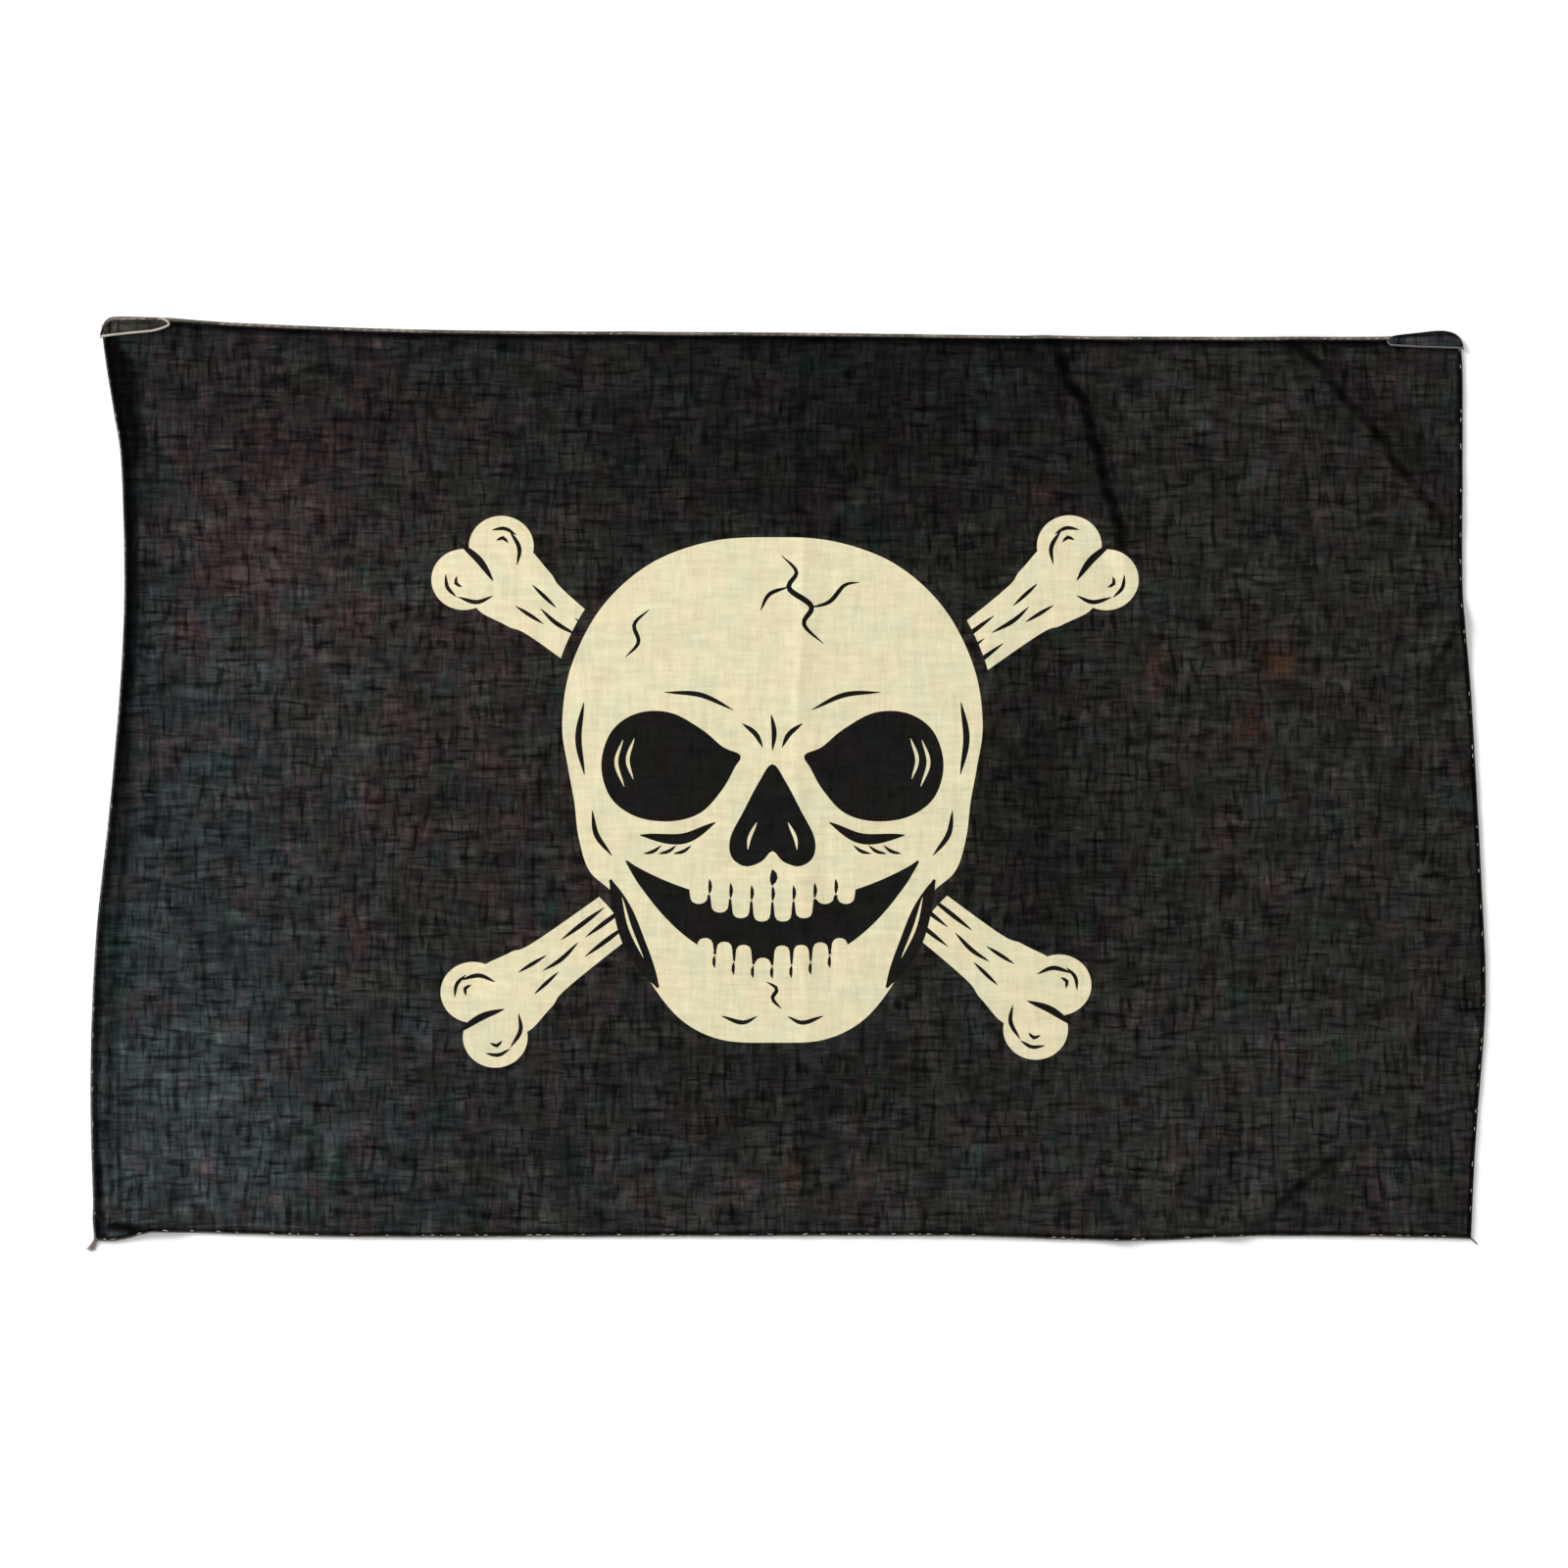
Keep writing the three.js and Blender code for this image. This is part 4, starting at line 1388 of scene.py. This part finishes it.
stitch_line = ring(UPPER_INSET, 0.75)
stitch_extra, _ = hem_shape(stitch_line)
stitch_top = lie(stitch_line) + CLOTH_THICKNESS + stitch_extra
stitch_top -= PULLED_IN * (side_of(stitch_line) == LEFT)
upper_line = np.column_stack([stitch_line, stitch_top])
upper_stitches = sew("upper_stitches", upper_line, seed=5, hidden=0.45, depth_mm=0.32)
under_line = ring(LOWER_INSET, 0.75)
under_line = np.column_stack([under_line, lie(under_line) + SUNK_UNDER])
lower_stitches = sew("lower_stitches", under_line, seed=8, hidden=0.2, depth_mm=0.1)
print("stitches:", len(upper_stitches.data.polygons), len(lower_stitches.data.polygons), "faces")

# %% [markdown]
# ## Loose ends
#
# The bottom corners fray where the two hems meet: a small twist of fibres at the left with a
# loop of sewing thread, and a drawn-out point at the right. Fibres are curves with a round
# bevel that thins towards the tip. A hair system would be the tool for a fringe, but for about
# twenty strands, curves drawn one by one are simpler and give plain mesh.

# %% Strands
SEAM = 0.0005


def strand(points_mm, radius_mm, taper=0.35):
    """A round thread through the points, thinner at its tip."""
    line = smooth_curve(points_mm, 0.5)
    made = line_object("strand", line)
    made.data.bevel_depth = radius_mm * MM
    made.data.bevel_resolution = 1
    made.data.use_fill_caps = True
    for share, place_on in zip(np.linspace(0, 1, len(line)), made.data.splines[0].points):
        place_on.radius = 1 - (1 - taper) * share
    return baked(made, "strand")


def bundle(name, strands, finish):
    """Joins strands into one piece with one material, and closes the seam round each end."""
    points_m, polygons = [], []
    for piece in strands:
        shift = len(points_m)
        points_m += [tuple(v.co) for v in piece.data.vertices]
        polygons += [tuple(i + shift for i in p.vertices) for p in piece.data.polygons]
        bpy.data.objects.remove(piece)
    made = new_mesh(name, np.array(points_m) / MM, polygons)
    whole = bmesh.new()
    whole.from_mesh(made.data)
    bmesh.ops.remove_doubles(whole, verts=whole.verts, dist=SEAM * MM)
    bmesh.ops.recalc_face_normals(whole, faces=whole.faces)
    whole.to_mesh(made.data)
    whole.free()
    made.data.materials.append(finish)
    return made


print("helpers: strand and bundle")

# %% The frayed corners
LEFT_FIBRES = 11
RIGHT_FIBRES = 7
tail = []
for _ in range(LEFT_FIBRES):
    drift = chance.normal(0, 0.5, 2)
    tip = chance.uniform(0, 2.6)
    tail.append(strand([(-229.6 + drift[0] * 0.6, -150.6, 0.9), (-230.6 + drift[0], -152.8, 0.8),
                        (-231.4 + drift[0] * 1.5, -154.2 - tip * 0.3, 0.6),
                        (-231.9 + drift[0] * 2.2, -155.2 - tip * 0.2 + drift[1] * 0.3, 0.42)], 0.26))
tail.append(strand([(-231.0, -153.6, 0.6), (-232.4, -154.7, 0.5), (-232.7, -155.3, 0.5),
                    (-232.0, -155.5, 0.45), (-231.4, -154.8, 0.5)], 0.2, taper=0.8))
for _ in range(RIGHT_FIBRES):
    drift = chance.normal(0, 0.35, 2)
    tail.append(strand([(226.0 + drift[0], -150.4, 0.9), (227.6 + drift[0], -151.6, 0.7),
                        (228.9, -152.6 + drift[1] * 0.5, 0.5), (229.7, -153.4 + drift[1] * 0.4, 0.35)],
                       0.24))
loose_ends = bundle("loose_ends", tail, fray)
print("loose ends:", len(loose_ends.data.polygons), "faces")

# %% [markdown]
# ### The rolled edge of each flap
#
# The free edge of a flap is the fold of the hem, so it is round and rubbed: pale at the left
# corner, where it ends in a small hook, and grey at the right. A strand laid along the free
# edge gives it that roundness. Each flap's edge is a piece of its own, with a colour of its own.

# %% The rolled edge of each flap
ABOVE_EDGE = np.array([0, 0, 0.05])
left_edge, right_edge = [[tuple(p + ABOVE_EDGE) for p in top[::4, -1]] for top in flap_tops]
left_hook = [(-205.9, 152.7, 1.7), (-206.2, 153.7, 1.7), (-207.6, 154.5, 1.6), (-209.4, 155.0, 1.5)]
left_roll = [strand(left_edge + left_hook, 0.42, taper=1.0)]
right_roll = [strand(right_edge + [(225.1, 144.7, 1.6)], 0.32, taper=1.0),
              strand([(200.6, 148.4, 1.3), (199.9, 147.2, 1.4), (200.6, 146.2, 1.5), (203, 145.8, 1.6)],
                     0.3, taper=0.9),
              strand([(206.4, 148.0, 1.5), (206.3, 146.2, 1.6)], 0.3, taper=0.8)]
left_corner_edge = bundle("left_corner_edge", left_roll, pale_edge)
right_corner_edge = bundle("right_corner_edge", right_roll, worn_edge)
print("rolled edges:", len(left_corner_edge.data.polygons), len(right_corner_edge.data.polygons), "faces")

# %% [markdown]
# ## Riding and replacing
#
# The visible pieces all move with the one body of the flag, and the cloth stands in for the
# plain solid.

# %% Hand the pieces over
cotton_pieces = [upper_stitches, lower_stitches, loose_ends, left_corner_edge, right_corner_edge]
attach(cloth, "root")
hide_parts("flag_cloth")
for piece in cotton_pieces:
    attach(piece, "root")
print("pieces handed over:", 1 + len(cotton_pieces))

# %% [markdown]
# ## Table, light and camera
#
# The flag lies on a plain white table, far larger than itself, so that the table's own edge
# never shows. The table belongs to the scene and not to the flag, and is handed over as such.

# %% The table
TABLE_HALF = 3.0
corners = [(x * TABLE_HALF, y * TABLE_HALF, 0) for x, y in ((-1, -1), (1, -1), (1, 1), (-1, 1))]
floor_mesh = bpy.data.meshes.new("table")
floor_mesh.from_pydata(corners, [], [(0, 1, 2, 3)])
floor = bpy.data.objects.new("table", floor_mesh)
bpy.context.scene.collection.objects.link(floor)
table_top = bpy.data.materials.new("white_table")
table_top.use_nodes = True
table_finish = table_top.node_tree.nodes["Principled BSDF"].inputs
table_finish["Base Color"].default_value = (0.98, 0.98, 0.98, 1)
table_finish["Roughness"].default_value = 0.95
table_finish["Specular IOR Level"].default_value = 0.0
floor_mesh.materials.append(table_top)
floor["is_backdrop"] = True
print("table:", 2 * TABLE_HALF, "m wide")

# %% [markdown]
# ### Light
#
# An even white sky lights everything from all round and keeps the shadows soft. One large, low
# lamp at the upper left adds a little more from one side, so that the folds show.

# %% Light
world = bpy.data.worlds.new("studio")
world.use_nodes = True
sky = world.node_tree.nodes["Background"].inputs
sky["Color"].default_value = (1, 1, 1, 1)
sky["Strength"].default_value = 0.66
bpy.context.scene.world = world
softbox = bpy.data.lights.new("softbox", "AREA")
softbox.shape = "SQUARE"
softbox.size = 1.1
softbox.energy = 62
lamp = bpy.data.objects.new("softbox", softbox)
lamp.location = (-1.7, 1.2, 1.45)
lamp.rotation_euler = (-lamp.location).to_track_quat("-Z", "Y").to_euler()
bpy.context.scene.collection.objects.link(lamp)
print("lamp:", round(lamp.location.length, 2), "m away")

# %% [markdown]
# ### Camera
#
# The flag is looked at from straight above, as on a copy stand. A long lens keeps the sides
# parallel. The camera's height follows from the width that it should see.

# %% Camera
VIEW_WIDTH = 522.4
VIEW_MIDDLE = (-1.14, -0.16)
LENS = 100.0
SENSOR = 36.0
lens = bpy.data.cameras.new("camera")
lens.lens = LENS
lens.sensor_width = SENSOR
lens.clip_start = 0.05
camera = bpy.data.objects.new("camera", lens)
camera.location = (VIEW_MIDDLE[0] * MM, VIEW_MIDDLE[1] * MM, LENS / SENSOR * VIEW_WIDTH * MM)
bpy.context.scene.collection.objects.link(camera)
bpy.context.scene.camera = camera
bpy.context.scene.view_settings.view_transform = "Standard"
print("camera:", round(camera.location.z, 2), "m up")

# %% [markdown]
# ## The box of what shows
#
# Last, the box of the finished flag is measured and printed. It should agree with the solid's
# box to within a few millimetres, or the flag no longer fits the part it dresses.

# %% Measure the box and finish
low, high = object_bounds()
print("visual box, mm:", [round((b - a) / MM, 1) for a, b in zip(low, high)])
